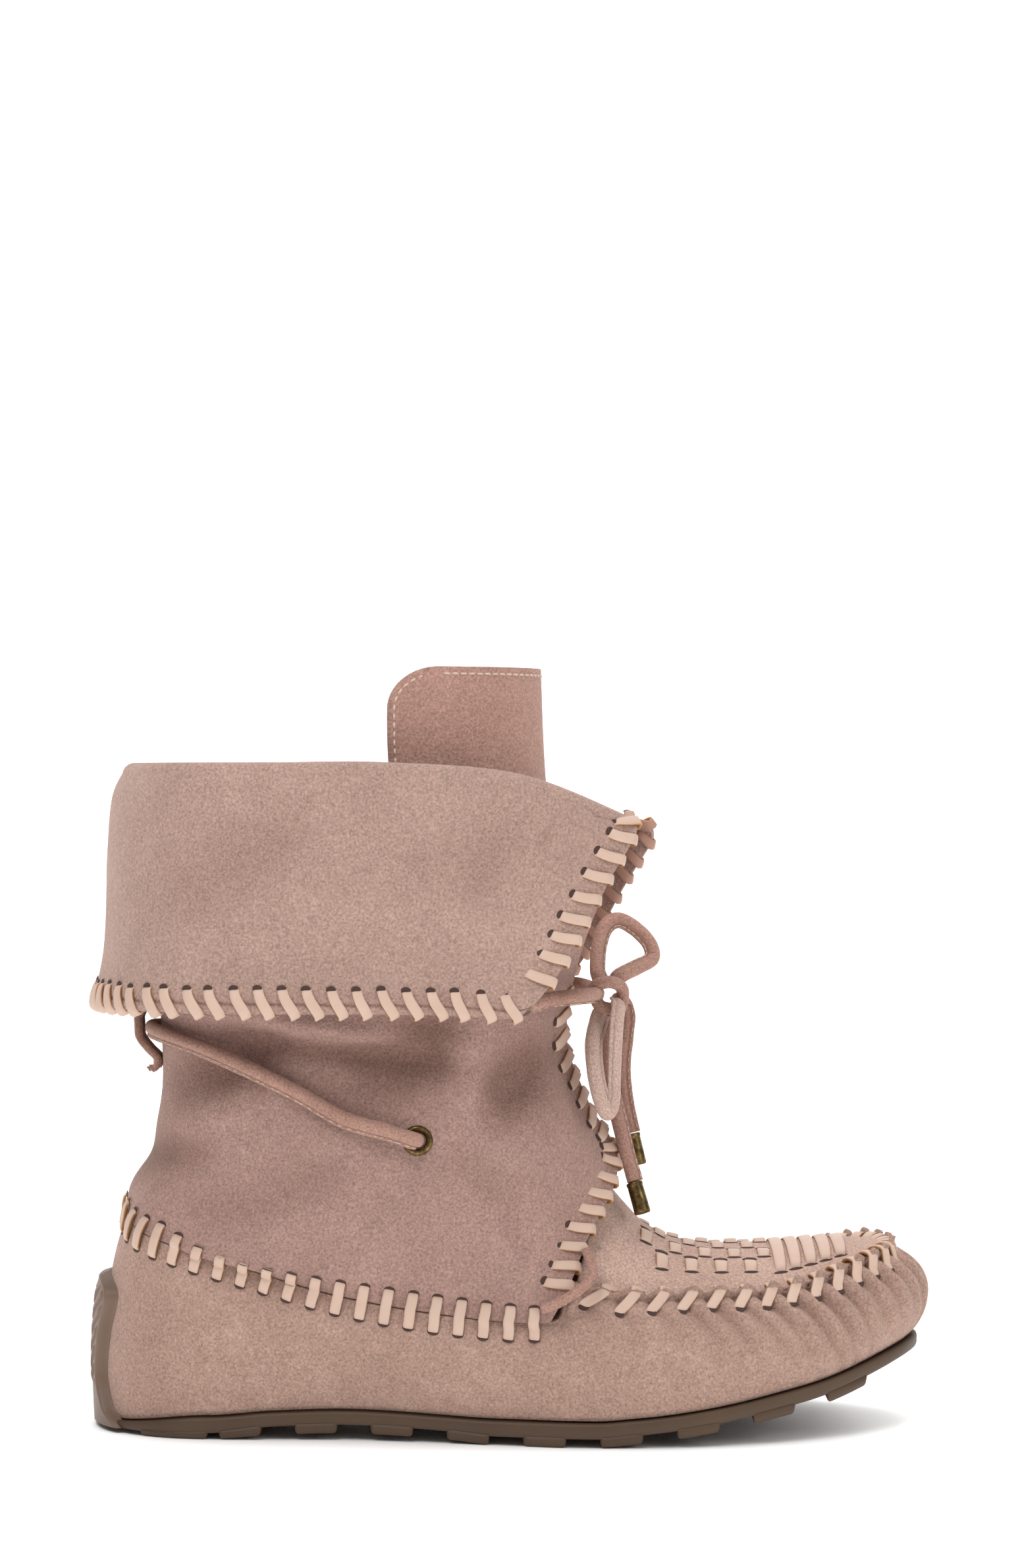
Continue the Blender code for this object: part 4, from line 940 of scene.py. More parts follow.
def build_sole():
    depth = lambda x: LUG_DEPTH * read(SOLE, SOLE_COLUMNS, "lug", (x + HEEL_OVERHANG) / LENGTH)
    mesh = bmesh.new()
    places = [len(STATIONS) * k / 360 for k in range(360)]
    rows = []
    for inset, from_top, from_bottom in (
            (0.0050, 0.0, None), (SOLE_EDGE, 0.0, None), (SOLE_EDGE * 0.3, SOLE_EDGE * 0.25, None),
            (0.0, SOLE_EDGE, None), (0.0, None, SOLE_EDGE), (SOLE_EDGE * 0.3, None, SOLE_EDGE * 0.25),
            (SOLE_EDGE, None, 0.0)):
        row = []
        for at in places:
            point = outline(at, SOLE_MARGIN - inset)
            if from_bottom is None:
                point.z = sole_line(point.x) - from_top
            else:
                point.z = tread_height(point.x) + depth(point.x) + from_bottom
            row.append(point)
        rows.append(row)
    grow_rows(mesh, rows, closed=True)
    near, far = side_points(SOLE_MARGIN - SOLE_EDGE, False), side_points(SOLE_MARGIN - SOLE_EDGE, True)
    xs = [blend(near[0].x + 0.0002, near[-1].x - 0.0002, k / 130) for k in range(131)]
    grow_rows(mesh, [[Vector((x, blend(edge_at(near, x), edge_at(far, x), j / 20), tread_height(x) + depth(x)))
                      for j in range(21)] for x in xs])
    spans = [(-HEEL_BLOCK * 0.62, HEEL_BLOCK * 0.38)]
    start = LUG_START
    while start + LUG_LENGTH < LENGTH - HEEL_OVERHANG - LUG_LENGTH * 0.6:
        spans.append((start, start + LUG_LENGTH))
        start += LUG_PITCH
    near, far = side_points(SOLE_MARGIN, False), side_points(SOLE_MARGIN, True)
    for first, last in spans:
        for left, right in LUG_BLOCKS:
            add_lug(mesh, first, last, left, right, near, far, depth)
    bmesh.ops.recalc_face_normals(mesh, faces=mesh.faces)
    place_piece(add_object("sole_unit", mesh, SOLE_RUBBER_SHADED), "rubber", "outsole")
    build_counter()


def add_lug(mesh, first, last, left, right, near, far, depth):
    """One block of a lug row: it narrows towards the ground and its corners are rounded."""
    block = bmesh.new()
    rows = []
    for k in range(7):
        x = blend(first, last, k / 6)
        rows.append([Vector((x, blend(edge_at(near, x), edge_at(far, x), blend(left, right, j / 5)), 0))
                     for j in range(6)])
    middle = sum((point for row in rows for point in row), Vector()) / 42
    grow_rows(block, rows)
    faces = list(block.faces)
    grown = bmesh.ops.extrude_face_region(block, geom=faces)["geom"]
    low = {item for item in grown if isinstance(item, bmesh.types.BMVert)}
    for vert in block.verts:
        if vert in low:
            vert.co.x = middle.x + (vert.co.x - middle.x) * 0.92
            vert.co.y = middle.y + (vert.co.y - middle.y) * 0.95
            vert.co.z = tread_height(vert.co.x)
        else:
            vert.co.z = tread_height(vert.co.x) + depth(vert.co.x) + 0.0006
    bmesh.ops.recalc_face_normals(block, faces=block.faces)
    sharp = [edge for edge in block.edges if len(edge.link_faces) == 2
             and edge.calc_face_angle(0) > 0.8 and any(vert in low for vert in edge.verts)]
    bmesh.ops.bevel(block, geom=sharp, affect="EDGES", offset=0.0011, segments=4, profile=0.5, material=-1)
    data = bpy.data.meshes.new("lug")
    block.to_mesh(data)
    block.free()
    mesh.from_mesh(data)
    bpy.data.meshes.remove(data)


def counter_share(column, height):
    """How far up the wrap's wall a height lies; below the feather it runs on downwards."""
    low, high = -0.2, 1.0
    for _ in range(22):
        middle = (low + high) / 2
        if on_column(column, middle).z < height:
            low = middle
        else:
            high = middle
    return (low + high) / 2


def build_counter():
    rows, count, across = [], 90, 84
    top = INSTEP_HEIGHT * COUNTER[-1][0]
    bottom = INSTEP_HEIGHT * COUNTER[0][0]
    for k in range(count + 1):
        height = blend(bottom, top, k / count)
        span = read(COUNTER, COUNTER_COLUMNS, "span", height / INSTEP_HEIGHT)
        span *= math.sqrt(max(1 - ease(0.86, 1.0, k / count) ** 2 * 0.85, 0.0))
        row = []
        for j in range(across + 1):
            at = span * (2 * j / across - 1)
            column = foot_column(at)
            out = outward(at)
            border = min(1 - abs(2 * j / across - 1), 1.0) * span * 0.016
            rim = ease(0.0, 0.0016, min(border, (top - height) * 0.8 + 0.00001))
            arc = at * 0.0165
            slant = (height - abs(arc) * 0.9) / RIB_PITCH
            rib = RIB_HEIGHT * (1 if slant % 1 < 0.62 else 0) * ease(0.0022, 0.0030, border)
            rib *= ease(0.0, 0.004, top - height - 0.003) * ease(0.012, 0.016, height)
            edge = min(slant % 1, 0.62 - slant % 1) if slant % 1 < 0.62 else 0
            rib *= ease(0.0, 0.09, edge)
            depth = SOLE_SEAT + COUNTER_THICK * rim * 0.92 + rib - 0.0006 * (1 - rim)
            row.append(on_column(column, counter_share(column, height)) + out * depth)
        rows.append(row)
    mesh = bmesh.new()
    grow_rows(mesh, rows)
    bmesh.ops.recalc_face_normals(mesh, faces=mesh.faces)
    if sum(face.normal.x for face in mesh.faces) > 0:
        bmesh.ops.reverse_faces(mesh, faces=mesh.faces)
    place_piece(add_object("heel_counter", mesh, COUNTER_RUBBER_LIT), "rubber", "outsole")


build_sole()


# Foot
# The wrap comes up round the foot in one piece and is gathered on to the apron, so it stands in short
# pillows between the stitches. Both edges stand up as a ridge, and the strip whips over them.
APRON_PITCH = (0.0094, 0.0066)
APRON_FIRST = 0.30
STITCH_LEAN = (0.0090, 0.0022)
RIDGE_RISE = 0.0023
GATHER_DEPTH = 0.0034
GATHER_REACH = 0.0170
GATHER_SLANT = 0.48
WRAP_COLUMNS = 600
WRAP_ROWS = 40
EDGE_GAP = 0.0016


def stitch_stations():
    """Stations of the stitches along the apron seam, closer towards the toe, the same on both sides."""
    places = []
    at = APRON_STATION + APRON_FIRST
    while at < TOE_STATION - 0.1:
        places.append(at)
        speed = (seam(at + 0.05) - seam(at - 0.05)).length / 0.1
        toward = (at - APRON_STATION) / (TOE_STATION - APRON_STATION)
        at += blend(*APRON_PITCH, toward) / speed
    return places + [2 * TOE_STATION - at for at in reversed(places)]


STITCHES = stitch_stations()
GATHERS = [(random.uniform(0.75, 1.15), random.uniform(0.8, 1.25)) for _ in range(len(STITCHES) + 1)]


def gather(at, down):
    """How far the gathers push the wrap out at a station and a distance below the seam, and how much painted shade
    the valley gets there. Valleys start at the stitches and lean to the toe on their way down."""
    lean = min(max((TOE_STATION - at) / 3, -1), 1)
    at = at - lean * GATHER_SLANT * down / 0.015
    if not STITCHES[0] - 0.4 < at < STITCHES[-1] + 0.4:
        return 0.0, 0.0
    index = sum(1 for place in STITCHES if place <= at)
    before = STITCHES[index - 1] if index else STITCHES[0] - 0.55
    after = STITCHES[index] if index < len(STITCHES) else STITCHES[-1] + 0.55
    u = (at - before) / (after - before)
    depth, reach = GATHERS[index]
    forward = ease(APRON_STATION + 0.2, APRON_STATION + 4.5, at if at < TOE_STATION else 2 * TOE_STATION - at)
    size = GATHER_DEPTH * depth * blend(0.45, 1.0, forward)
    length = GATHER_REACH * reach * blend(0.55, 1.0, forward)
    fade = math.exp(-(down / length) ** 2)
    pinched, rolling = 1 - abs(2 * u - 1) ** 2.1, 0.5 - 0.5 * math.cos(2 * math.pi * u)
    pillow = blend(pinched, rolling, ease(0.0015, 0.0080, down))
    return size * fade * (pillow - 0.58), min(1.0, fade * (1 - pillow) ** 1.8 * blend(0.4, 0.6, forward))


def soft_folds(table, x, z):
    """The sum of a panel's listed creases at a point of its side view, out positive."""
    total = 0.0
    for place_x, place_z, tilt, reach, width, height in table:
        c, s = math.cos(math.radians(tilt)), math.sin(math.radians(tilt))
        along = (x - place_x) * c + (z - place_z) * s
        across = (z - place_z) * c - (x - place_x) * s
        total += height * math.exp(-(along / reach) ** 2 - (across / width) ** 2)
    return total


# Creases of the foot: place along and up, tilt in degrees, reach, width, height out
WRAP_FOLDS = (
    (0.020, 0.034, 8, 0.030, 0.010, -0.0007),
    (0.065, 0.026, -6, 0.034, 0.009, 0.0006),
    (0.100, 0.022, 12, 0.022, 0.008, -0.0005),
    (0.132, 0.026, 70, 0.012, 0.005, -0.0006),
    (0.150, 0.024, 62, 0.014, 0.006, 0.0005),
    (0.196, 0.030, 55, 0.010, 0.004, -0.0004),
)


def build_wrap():
    top_rows = (0.33, 0.66, 1.0)
    columns = [foot_column(len(STATIONS) * k / WRAP_COLUMNS) for k in range(WRAP_COLUMNS)]
    outs = [outward(len(STATIONS) * k / WRAP_COLUMNS) for k in range(WRAP_COLUMNS)]
    rows, heights, painted_shades = [], [], []
    for k in range(WRAP_ROWS + 1):
        share = 1 - (1 - k / WRAP_ROWS) ** 1.25
        row, height, painted_shade = [], [], []
        for j in range(WRAP_COLUMNS):
            at = len(STATIONS) * j / WRAP_COLUMNS
            point = on_column(columns[j], share)
            down = (columns[j][3] - point).length
            # The second value is painted shade for the gather valleys.
            push, dark = gather(at, down)
            push *= ease(0.0, 0.002, (1 - (1 - share)) * 0.05)
            row.append(point)
            height.append(push + soft_folds(WRAP_FOLDS, point.x, point.z) * ease(0.0, 0.25, share))
            painted_shade.append(dark)
        rows.append(row)
        heights.append(height)
        painted_shades.append(painted_shade)
    rows = press(rows, heights, closed=True)
    for rise in top_rows:
        row, painted_shade = [], []
        for j in range(WRAP_COLUMNS):
            at = len(STATIONS) * j / WRAP_COLUMNS
            on_apron = ease(APRON_STATION - 0.35, APRON_STATION + 0.15, at)
            on_apron *= 1 - ease(2 * TOE_STATION - APRON_STATION - 0.15, 2 * TOE_STATION - APRON_STATION + 0.35, at)
            push, dark = gather(at, 0.0)
            lift = (RIDGE_RISE * on_apron + 0.0002) * rise
            row.append(rows[WRAP_ROWS][j] + outs[j] * (lift * 0.25 + push * rise * 0.3)
                       + Vector((0, 0, lift + push * rise * 0.4)))
            # Painted shade carried up into the standing edge.
            painted_shade.append(dark * 0.6)
        rows.append(row)
        painted_shades.append(painted_shade)
    wrap = sheet("foot_wrap", rows, painted_shades, FOOT_SUEDE, UPPER_WALL, closed=True)
    place_piece(wrap, "suede", "upper")


def apron_edge(at, rise):
    """The apron's own standing edge beside the wrap's, a share of the way up."""
    out = outward(at)
    return seam(at) - out * (UPPER_WALL + EDGE_GAP * 0.5) + Vector((0, 0, RIDGE_RISE * 0.9 * rise - 0.0006 * (1 - rise)))


def build_apron():
    rows, painted_shades = [], []
    shares = [0.5 - 0.5 * math.cos(math.pi * k / 56) for k in range(57)]
    shares = [0.035 + 0.93 * share for share in shares]
    for k in range(121):
        step = (TOE_STATION - APRON_STATION - 0.12) * k / 120
        near_at, far_at = APRON_STATION + step, 2 * TOE_STATION - APRON_STATION - step
        row = [apron_edge(near_at, 1.0), apron_edge(near_at, 0.45), apron_edge(near_at, 0.0)]
        row += [apron(step, share) for share in shares]
        row += [apron_edge(far_at, 0.0), apron_edge(far_at, 0.45), apron_edge(far_at, 1.0)]
        rows.append(row)
        # Painted shade: the apron's edge rows darken down into the groove of the seam.
        painted_shades.append([0.1, 0.5, 0.9, 0.5, 0.25] + [0.0] * (len(row) - 10) + [0.25, 0.5, 0.9, 0.5, 0.1])
    place_piece(sheet("apron", rows, painted_shades, APRON_SUEDE_LIT, UPPER_WALL * 0.8), "suede", "upper")


def apron_at(x, share):
    """The apron's point at a place along the boot, with its normal and its direction forward."""
    low, high = 0.0, float(TOE_STATION - APRON_STATION)
    for _ in range(22):
        middle = (low + high) / 2
        if apron(middle, share).x < x:
            low = middle
        else:
            high = middle
    point = apron(low, share)
    forward = (apron(low + 0.05, share) - point).normalized()
    across = (apron(low, share + 0.01) - apron(low, share - 0.01)).normalized()
    return point, forward.cross(across).normalized(), forward, across


INLAY_START = 0.1425
INLAY_PITCH = 0.0046
INLAY_COLUMNS = 9
INLAY_ROWS = (0.22, 0.36, 0.50, 0.64, 0.78)
INLAY_HALF = 0.052
WHOLE_STRIPS = 5
WHOLE_SPAN = (0.15, 0.85)


def inlay_strip(strips, holes, x, first, last):
    """One showing stretch of a woven strip, from one slit to the next across the apron."""
    count = max(3, round((last - first) / 0.03))
    points = []
    for k in range(count + 1):
        share = blend(first, last, k / count)
        point, normal, forward, across = apron_at(x, share)
        lift = 0.0006 if 0 < k < count else -0.0004
        points.append(point + normal * lift)
    strip(strips, points, 0.0038, forward, normal)
    for share, way, wide in ((first, -1, 0.0014), (last, 1, 0.0026)):
        point, normal, forward, across = apron_at(x, share)
        hole(holes, point + normal * 0.0001 + across * way * wide * 0.2, normal, forward, 0.0048, wide)


def build_inlay():
    strips, holes = bmesh.new(), bmesh.new()
    for column in range(INLAY_COLUMNS):
        x = INLAY_START + INLAY_PITCH * column
        for k, share in enumerate(INLAY_ROWS):
            if (column + k) % 2 == 1:
                inlay_strip(strips, holes, x, share - INLAY_HALF, share + INLAY_HALF)
    for k in range(WHOLE_STRIPS):
        x = INLAY_START + INLAY_PITCH * (INLAY_COLUMNS + k * 1.04)
        squeeze = 0.012 * k
        inlay_strip(strips, holes, x, WHOLE_SPAN[0] + squeeze, WHOLE_SPAN[1] - squeeze)
    finish_strips("woven_inlay", strips)
    finish_hole_shades("inlay_slit_shades", holes)


def build_apron_stitches():
    strips, holes = bmesh.new(), bmesh.new()
    for at in STITCHES:
        column = foot_column(at)
        speed = (seam(at + 0.05) - seam(at - 0.05)).length / 0.1
        toward = 1 - abs(TOE_STATION - at) / (TOE_STATION - APRON_STATION)
        lean = blend(*STITCH_LEAN, toward ** 0.6) / speed * min(max(TOE_STATION - at, -1), 1)
        along = (seam(at + 0.05) - seam(at - 0.05)).normalized() * (1 if at < TOE_STATION else -1)
        out = outward(at)
        points = []
        for down, stand in ((0.0054, -0.0012), (0.0046, 0.0002), (0.0024, 0.0009)):
            share = 1 - down / (column[3] - column[2]).length / 3
            point = on_column(column, max(share, 0.5))
            tangent = (on_column(column, share + 0.02) - on_column(column, share - 0.02)).normalized()
            normal = along.cross(tangent).normalized()
            normal = normal if normal.dot(out) > 0 else -normal
            push, _ = gather(at, down)
            points.append(point + normal * (stand + push))
            if down == 0.0054:
                mouth, mouth_normal = point + normal * (push + 0.0002), normal
        points[-1] = points[-1] + seam(at + lean * 0.3) - seam(at)
        top = seam(at + lean * 0.75)
        points.append(top + out * 0.0009 + Vector((0, 0, RIDGE_RISE + 0.0001)))
        points.append(top - out * 0.0012 + Vector((0, 0, RIDGE_RISE + 0.0011)))
        end = seam(at + lean)
        points.append(end - out * 0.0036 + Vector((0, 0, RIDGE_RISE + 0.0005)))
        points.append(end - out * 0.0052 + Vector((0, 0, 0.0014)))
        points.append(end - out * 0.0058 + Vector((0, 0, -0.0006)))
        strip(strips, points, STRIP_WIDTH, along, out)
        hole(holes, mouth, mouth_normal, along, 0.0034, 0.0026)
    finish_strips("apron_whip_stitch", strips)
    finish_hole_shades("apron_stitch_hole_shades", holes)


build_wrap()
build_apron()
build_inlay()
build_apron_stitches()

# Sock
# A thin leather sock lies on the sole inside; it hardly shows past the collar.
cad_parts["insole"].data.materials.clear()
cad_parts["insole"].data.materials.append(SOCK)


# Shaft and cuff
# One soft sheet of suede is sewn to the foot, slouches into creases at the ankle and folds down at the
# top into a deep cuff, whose hem and front edges are turned and whipped with strip.
CUFF_LEVELS = (
    (0.295, 0.160, 0.140, 1.139, -0.006, 0.88, 1.30),
    (0.530, 0.370, 0.370, 1.064, -0.016, 1.02, 1.34),
    (0.765, 0.610, 0.610, 1.000, -0.020, 1.16, 1.365),
    (0.920, 0.810, 0.800, 0.945, -0.027, 1.26, 1.39),
    (1.020, 0.995, 0.995, 0.891, -0.048, 1.33, 1.42),
)
CUFF_LIP = 0.90
SHEET_COLUMNS = 320
SHAFT_ROWS = 96
FLAP_ROWS = 74
HEM_BAND = 0.0030
INNER_FLAP_FORWARD = 0.0100
FRONT_CROWDING = 0.55
HEM_CORNER = 0.0050
FRONT_ROLL = 0.0095
FRONT_ROLL_SPAN = 0.42

# Creases of the shaft, as for the foot
SHAFT_FOLDS = (
    (0.016, 0.117, 35, 0.020, 0.009, -0.0034),
    (0.073, 0.122, 20, 0.018, 0.009, -0.0030),
    (0.088, 0.120, 85, 0.018, 0.006, 0.0018),
    (0.103, 0.110, 50, 0.016, 0.009, -0.0030),
    (0.035, 0.127, -8, 0.036, 0.0035, 0.0030),
    (0.050, 0.119, -6, 0.030, 0.0040, -0.0020),
    (-0.008, 0.087, 15, 0.016, 0.006, -0.0028),
    (0.006, 0.096, 28, 0.018, 0.006, 0.0012),
    (0.030, 0.075, 22, 0.030, 0.009, -0.0010),
    (0.060, 0.066, 10, 0.030, 0.010, 0.0010),
    (0.095, 0.078, -48, 0.022, 0.008, -0.0012),
    (0.112, 0.062, -60, 0.018, 0.006, 0.0010),
    (0.050, 0.100, 15, 0.026, 0.010, 0.0009),
    (0.085, 0.096, -30, 0.020, 0.008, 0.0009),
    (0.062, 0.107, 14, 0.026, 0.008, -0.0016),
)
CUFF_FOLDS = (
    (0.020, 0.176, 30, 0.034, 0.013, -0.0020),
    (0.060, 0.166, -20, 0.034, 0.014, 0.0016),
    (0.092, 0.174, 58, 0.022, 0.010, -0.0018),
    (0.000, 0.152, 60, 0.020, 0.010, 0.0008),
    (0.040, 0.146, 8, 0.032, 0.010, -0.0006),
    (0.110, 0.180, 48, 0.020, 0.008, 0.0009),
)


def column_place(k):
    """The ring place of one column; the columns stand closer together towards the two front edges."""
    share = k / SHEET_COLUMNS
    return 12 * (share - FRONT_CROWDING * math.sin(2 * math.pi * share) / (2 * math.pi))


def sheet_column(at):
    """The folded sheet at one ring place: up the shaft, over the fold, down the flap to the hem."""
    rings = [tuple(point) for point in shaft_rings(at)]
    shaft = [Vector(spline(rings, (len(rings) - 1) * k / SHAFT_ROWS)) for k in range(SHAFT_ROWS + 1)]
    rolled = FRONT_ROLL * (1 - ease(0.0, FRONT_ROLL_SPAN, min(at, 12 - at)))
    for point in shaft:
        window = ease(0.070, 0.092, point.z) * (1 - ease(0.142, 0.160, point.z))
        point.y += rolled * window * (1 if at < 6 else -1)
    top = Vector(rings[-1])
    flap_rings = [ring_point(level, at, lambda share: BOOT_HEIGHT - CUFF_REACH * share) for level in CUFF_LEVELS]
    out = flap_rings[0] - top
    out.z = 0
    out.normalize()
    fold = [top + out * FOLD_RADIUS * (1 - math.cos(a)) + Vector((0, 0, FOLD_RADIUS * math.sin(a)))
            for a in (math.pi * k / 9 for k in range(1, 9))]
    flap_rows = [tuple(top + out * FOLD_RADIUS * 2)] + [tuple(point) for point in flap_rings]
    front_corner = ring_point(CUFF_LEVELS[-1], 0 if at < 6 else 12, lambda share: BOOT_HEIGHT - CUFF_REACH * share)
    left = max(HEM_CORNER - (flap_rings[-1] - front_corner).length, 0.0)
    trim = HEM_CORNER - math.sqrt(HEM_CORNER ** 2 - left ** 2)
    flap = []
    for k in range(FLAP_ROWS + 1):
        share = (1 - (1 - k / FLAP_ROWS) ** 1.7) * (1 - trim / CUFF_REACH)
        point = Vector(spline(flap_rows, (len(flap_rows) - 1) * share))
        point.x += INNER_FLAP_FORWARD * ease(9.8, 12, at) * ease(0.0, 0.25, share)
        flap.append(point)
    return shaft, fold + flap


def build_shaft_and_cuff():
    columns = [sheet_column(column_place(k)) for k in range(SHEET_COLUMNS + 1)]
    columns = [(list(reversed(shaft)), list(reversed(flap))) for shaft, flap in columns]
    shaft_rows = [[column[0][k] for column in columns] for k in range(SHAFT_ROWS + 1)]
    heights, painted_shades = [], []
    for row in shaft_rows:
        push = [soft_folds(SHAFT_FOLDS, p.x, p.z) * (1.0 if p.y < 0 else 0.8) for p in row]
        near_seam = [ease(0.001, 0.012, p.z - column[0][-1].z) for p, column in zip(row, columns)]
        near_edge = [ease(0.0, 12.0, min(j, SHEET_COLUMNS - j)) for j in range(SHEET_COLUMNS + 1)]
        push = [p * s * e for p, s, e in zip(push, near_seam, near_edge)]
        heights.append(push)
        # Painted shade in the crease valleys.
        painted_shades.append([min(max(-p / 0.0030, 0.0), 0.75) for p in push])
    shaft_rows = press(shaft_rows, heights)
    place_piece(sheet("shaft_sheet", shaft_rows, painted_shades, SHAFT_SUEDE_SHADED, SHAFT_WALL), "suede", "shaft")
    lip = [[blend(column[0][0], column[0][1], blend(2.0, 0.0, k / 2)) for column in columns] for k in range(3)]
    rows = lip + [[column[1][-1 - k] for column in columns] for k in range(len(columns[0][1]))]
    hem = [row for row in rows[-1]]
    heights, painted_shades = [], []
    for k, row in enumerate(rows):
        on_flap = ease(12, 26, k)
        line, dark = [], []
        for j, point in enumerate(row):
            push = soft_folds(CUFF_FOLDS, point.x, point.z) * on_flap * (1.0 if point.y < 0 else 0.8)
            above = (point - hem[j]).length if k > 30 else 1.0
            push -= 0.00045 * math.exp(-((above - HEM_BAND) / 0.0005) ** 2)
            push -= 0.0004 * (1 - ease(0.0, 0.0012, above))
            line.append(CUFF_WALL + push)
            # Painted shade along the groove above the hem and in the crease valleys.
            dark.append(0.8 * math.exp(-((above - HEM_BAND) / 0.0004) ** 2) + max(-push / 0.003, 0.0) * 0.7)
        heights.append(line)
        painted_shades.append(dark)
    rows = press(rows, heights)
    cuff = sheet("cuff_sheet", rows, painted_shades, CUFF_SUEDE, CUFF_WALL)
    place_piece(cuff, "suede", "cuff")
    return shaft_rows, rows


SHAFT_FACE, CUFF_FACE = build_shaft_and_cuff()


# Whip stitching
# One strip goes round and round each edge: out of a punched hole, over the edge, in behind it. It binds
# the cuff's hem and fronts and the shaft's fronts, and joins the shaft to the foot.
HEM_PITCH = 0.0074
HEM_REACH = 0.0068
HEM_LEAN = 0.0036
FRONT_PITCH = 0.0072
FRONT_REACH = 0.0074
FRONT_LEAN = -0.0028
FOLD_END = 13
UNDER_CUFF = 30
SEAM_PITCH = 0.0075
SEAM_REACH = 0.0044
THONG = ((0.1235, -0.0345, 0.0585), (0.1250, -0.0395, 0.0545), (0.1250, -0.0425, 0.0510),
         (0.1215, -0.0450, 0.0478), (0.1165, -0.0454, 0.0446), (0.1120, -0.0452, 0.0424),
         (0.1098, -0.0446, 0.0420))
THONG_WIDTH = 0.0030
THONG_THICK = 0.0014


def whip(strips, holes, across, inward, along, normal, reach, lean, wall):
    """One turn of strip round an edge, from its hole over the face and the edge to the back. The face is
    given by a line of its points from the edge inwards."""
    points = []
    for run, stand in ((reach + 0.0008, -0.0010), (reach, 0.0004), (reach * 0.66, 0.0008), (reach * 0.33, 0.0008),
                       (-0.0002, 0.0006), (-0.0010, -wall / 2), (-0.0002, -wall - 0.0006),
                       (reach * 0.4, -wall - 0.0007), (reach * 0.8, -wall - 0.0002)):
        swing = lean * (1 - max(run, 0) / reach) ** 1.4 if run < reach else 0.0
        if stand < -wall:
            swing = lean * (1 + max(run, 0) / reach * 0.6)
        points.append(measured(across, max(run, 0)) + inward * min(run, 0) + along * swing + normal * stand)
    strip(strips, points, STRIP_WIDTH, along, normal)
    hole(holes, measured(across, reach + 0.0008) + normal * 0.0004 - along * 0.0003, normal, along, 0.0030, 0.0022)


def square_to(point, edge, along):
    """A point moved back along an edge until it lies square to it."""
    return point - along * (point - edge).dot(along)


def walk(line, pitch, first):
    """Evenly spaced places along a line of points: the index before, and the share past it."""
    places, travelled, wanted = [], 0.0, first
    for k in range(len(line) - 1):
        step = (line[k + 1] - line[k]).length
        while travelled + step >= wanted:
            places.append((k, (wanted - travelled) / step))
            wanted += pitch
        travelled += step
    return places


def stitch_edge(name, lines, pitch, first, reach, lean, wall, face_normal, face=STRIP, skip_last=0):
    """Whip a whole edge; the panel's lines of points beside it are given from the edge inwards."""
    strips, holes = bmesh.new(), bmesh.new()
    edge_line = lines[0]
    places = walk(edge_line, pitch, first)
    for k, share in places[:len(places) - skip_last]:
        along = (edge_line[min(k + 2, len(edge_line) - 1)] - edge_line[max(k - 1, 0)]).normalized()
        edge = edge_line[k].lerp(edge_line[k + 1], share)
        across = [square_to(line[k].lerp(line[k + 1], share), edge, along) for line in lines]
        inward = measured(across, reach) - across[0]
        inward = (inward - along * inward.dot(along)).normalized()
        normal = along.cross(inward).normalized() * face_normal
        jitter = along * random.uniform(-0.0004, 0.0004)
        whip(strips, holes, [point + jitter for point in across], inward, along, normal,
             reach + random.uniform(-0.0003, 0.0003), lean + random.uniform(-0.0004, 0.0004), wall)
    finish_strips(name, strips, face)
    finish_hole_shades(name + "_hole_shades", holes)


def build_whip_stitches():
    hem_lines = [list(reversed(CUFF_FACE[-1 - k])) for k in range(28)]
    stitch_edge("hem_whip_stitch", hem_lines, HEM_PITCH, 0.0040, HEM_REACH, HEM_LEAN, CUFF_WALL, 1.0)
    for name, front, way, face in (("outer", 0, 1, STRIP), ("inner", SHEET_COLUMNS, -1, STRIP_SHADED)):
        beside = [front + way * k for k in range(24)]
        lines = [[row[j] for row in CUFF_FACE[FOLD_END:]] for j in beside]
        stitch_edge("cuff_front_whip_" + name, lines, FRONT_PITCH, 0.0030, FRONT_REACH, FRONT_LEAN, CUFF_WALL,
                    -way, face, 1)
        lines = [[row[j] for row in SHAFT_FACE[UNDER_CUFF:]] for j in beside]
        stitch_edge("shaft_front_whip_" + name, lines, FRONT_PITCH * 0.92, 0.0030, FRONT_REACH * 0.9, FRONT_LEAN,
                    SHAFT_WALL, -way, face, 1)


def build_foot_seam_stitches():
    strips, holes = bmesh.new(), bmesh.new()
    line = [shaft_foot(12 * k / 240) for k in range(241)]
    for k, share in walk(line, SEAM_PITCH, 0.0050):
        at = 12 * (k + share) / 240
        edge = shaft_foot(at)
        along = (shaft_foot(at - 0.05) - shaft_foot(at + 0.05)).normalized()
        rings = [tuple(point) for point in shaft_rings(at)]
        column = foot_column(SHAFT_STATION - at)
        out = outward(SHAFT_STATION - at)
        halves = []
        for face in ([Vector(spline(rings, k / 20)) for k in range(40)], [on_column(column, 1 - k / 100) for k in range(40)]):
            half = []
            for run, stand in ((SEAM_REACH + 0.0005, -0.0012), (SEAM_REACH, 0.0007), (SEAM_REACH * 0.5, 0.0013)):
                way = measured(face, run + 0.0005) - measured(face, run - 0.0005)
                normal = along.cross(way).normalized()
                normal = normal if normal.dot(out) > 0 else -normal
                half.append(square_to(measured(face, run), edge, along) + normal * stand)
            halves.append(half)
            mouth = square_to(measured(face, SEAM_REACH + 0.0005), edge, along)
            hole(holes, mouth + normal * 0.0003, normal, along, 0.0036, 0.0022)
        points = halves[0] + [edge + out * 0.0016] + list(reversed(halves[1]))
        strip(strips, points, STRIP_WIDTH, along, out)
    finish_strips("foot_seam_whip_stitch", strips)
    finish_hole_shades("foot_seam_hole_shades", holes)


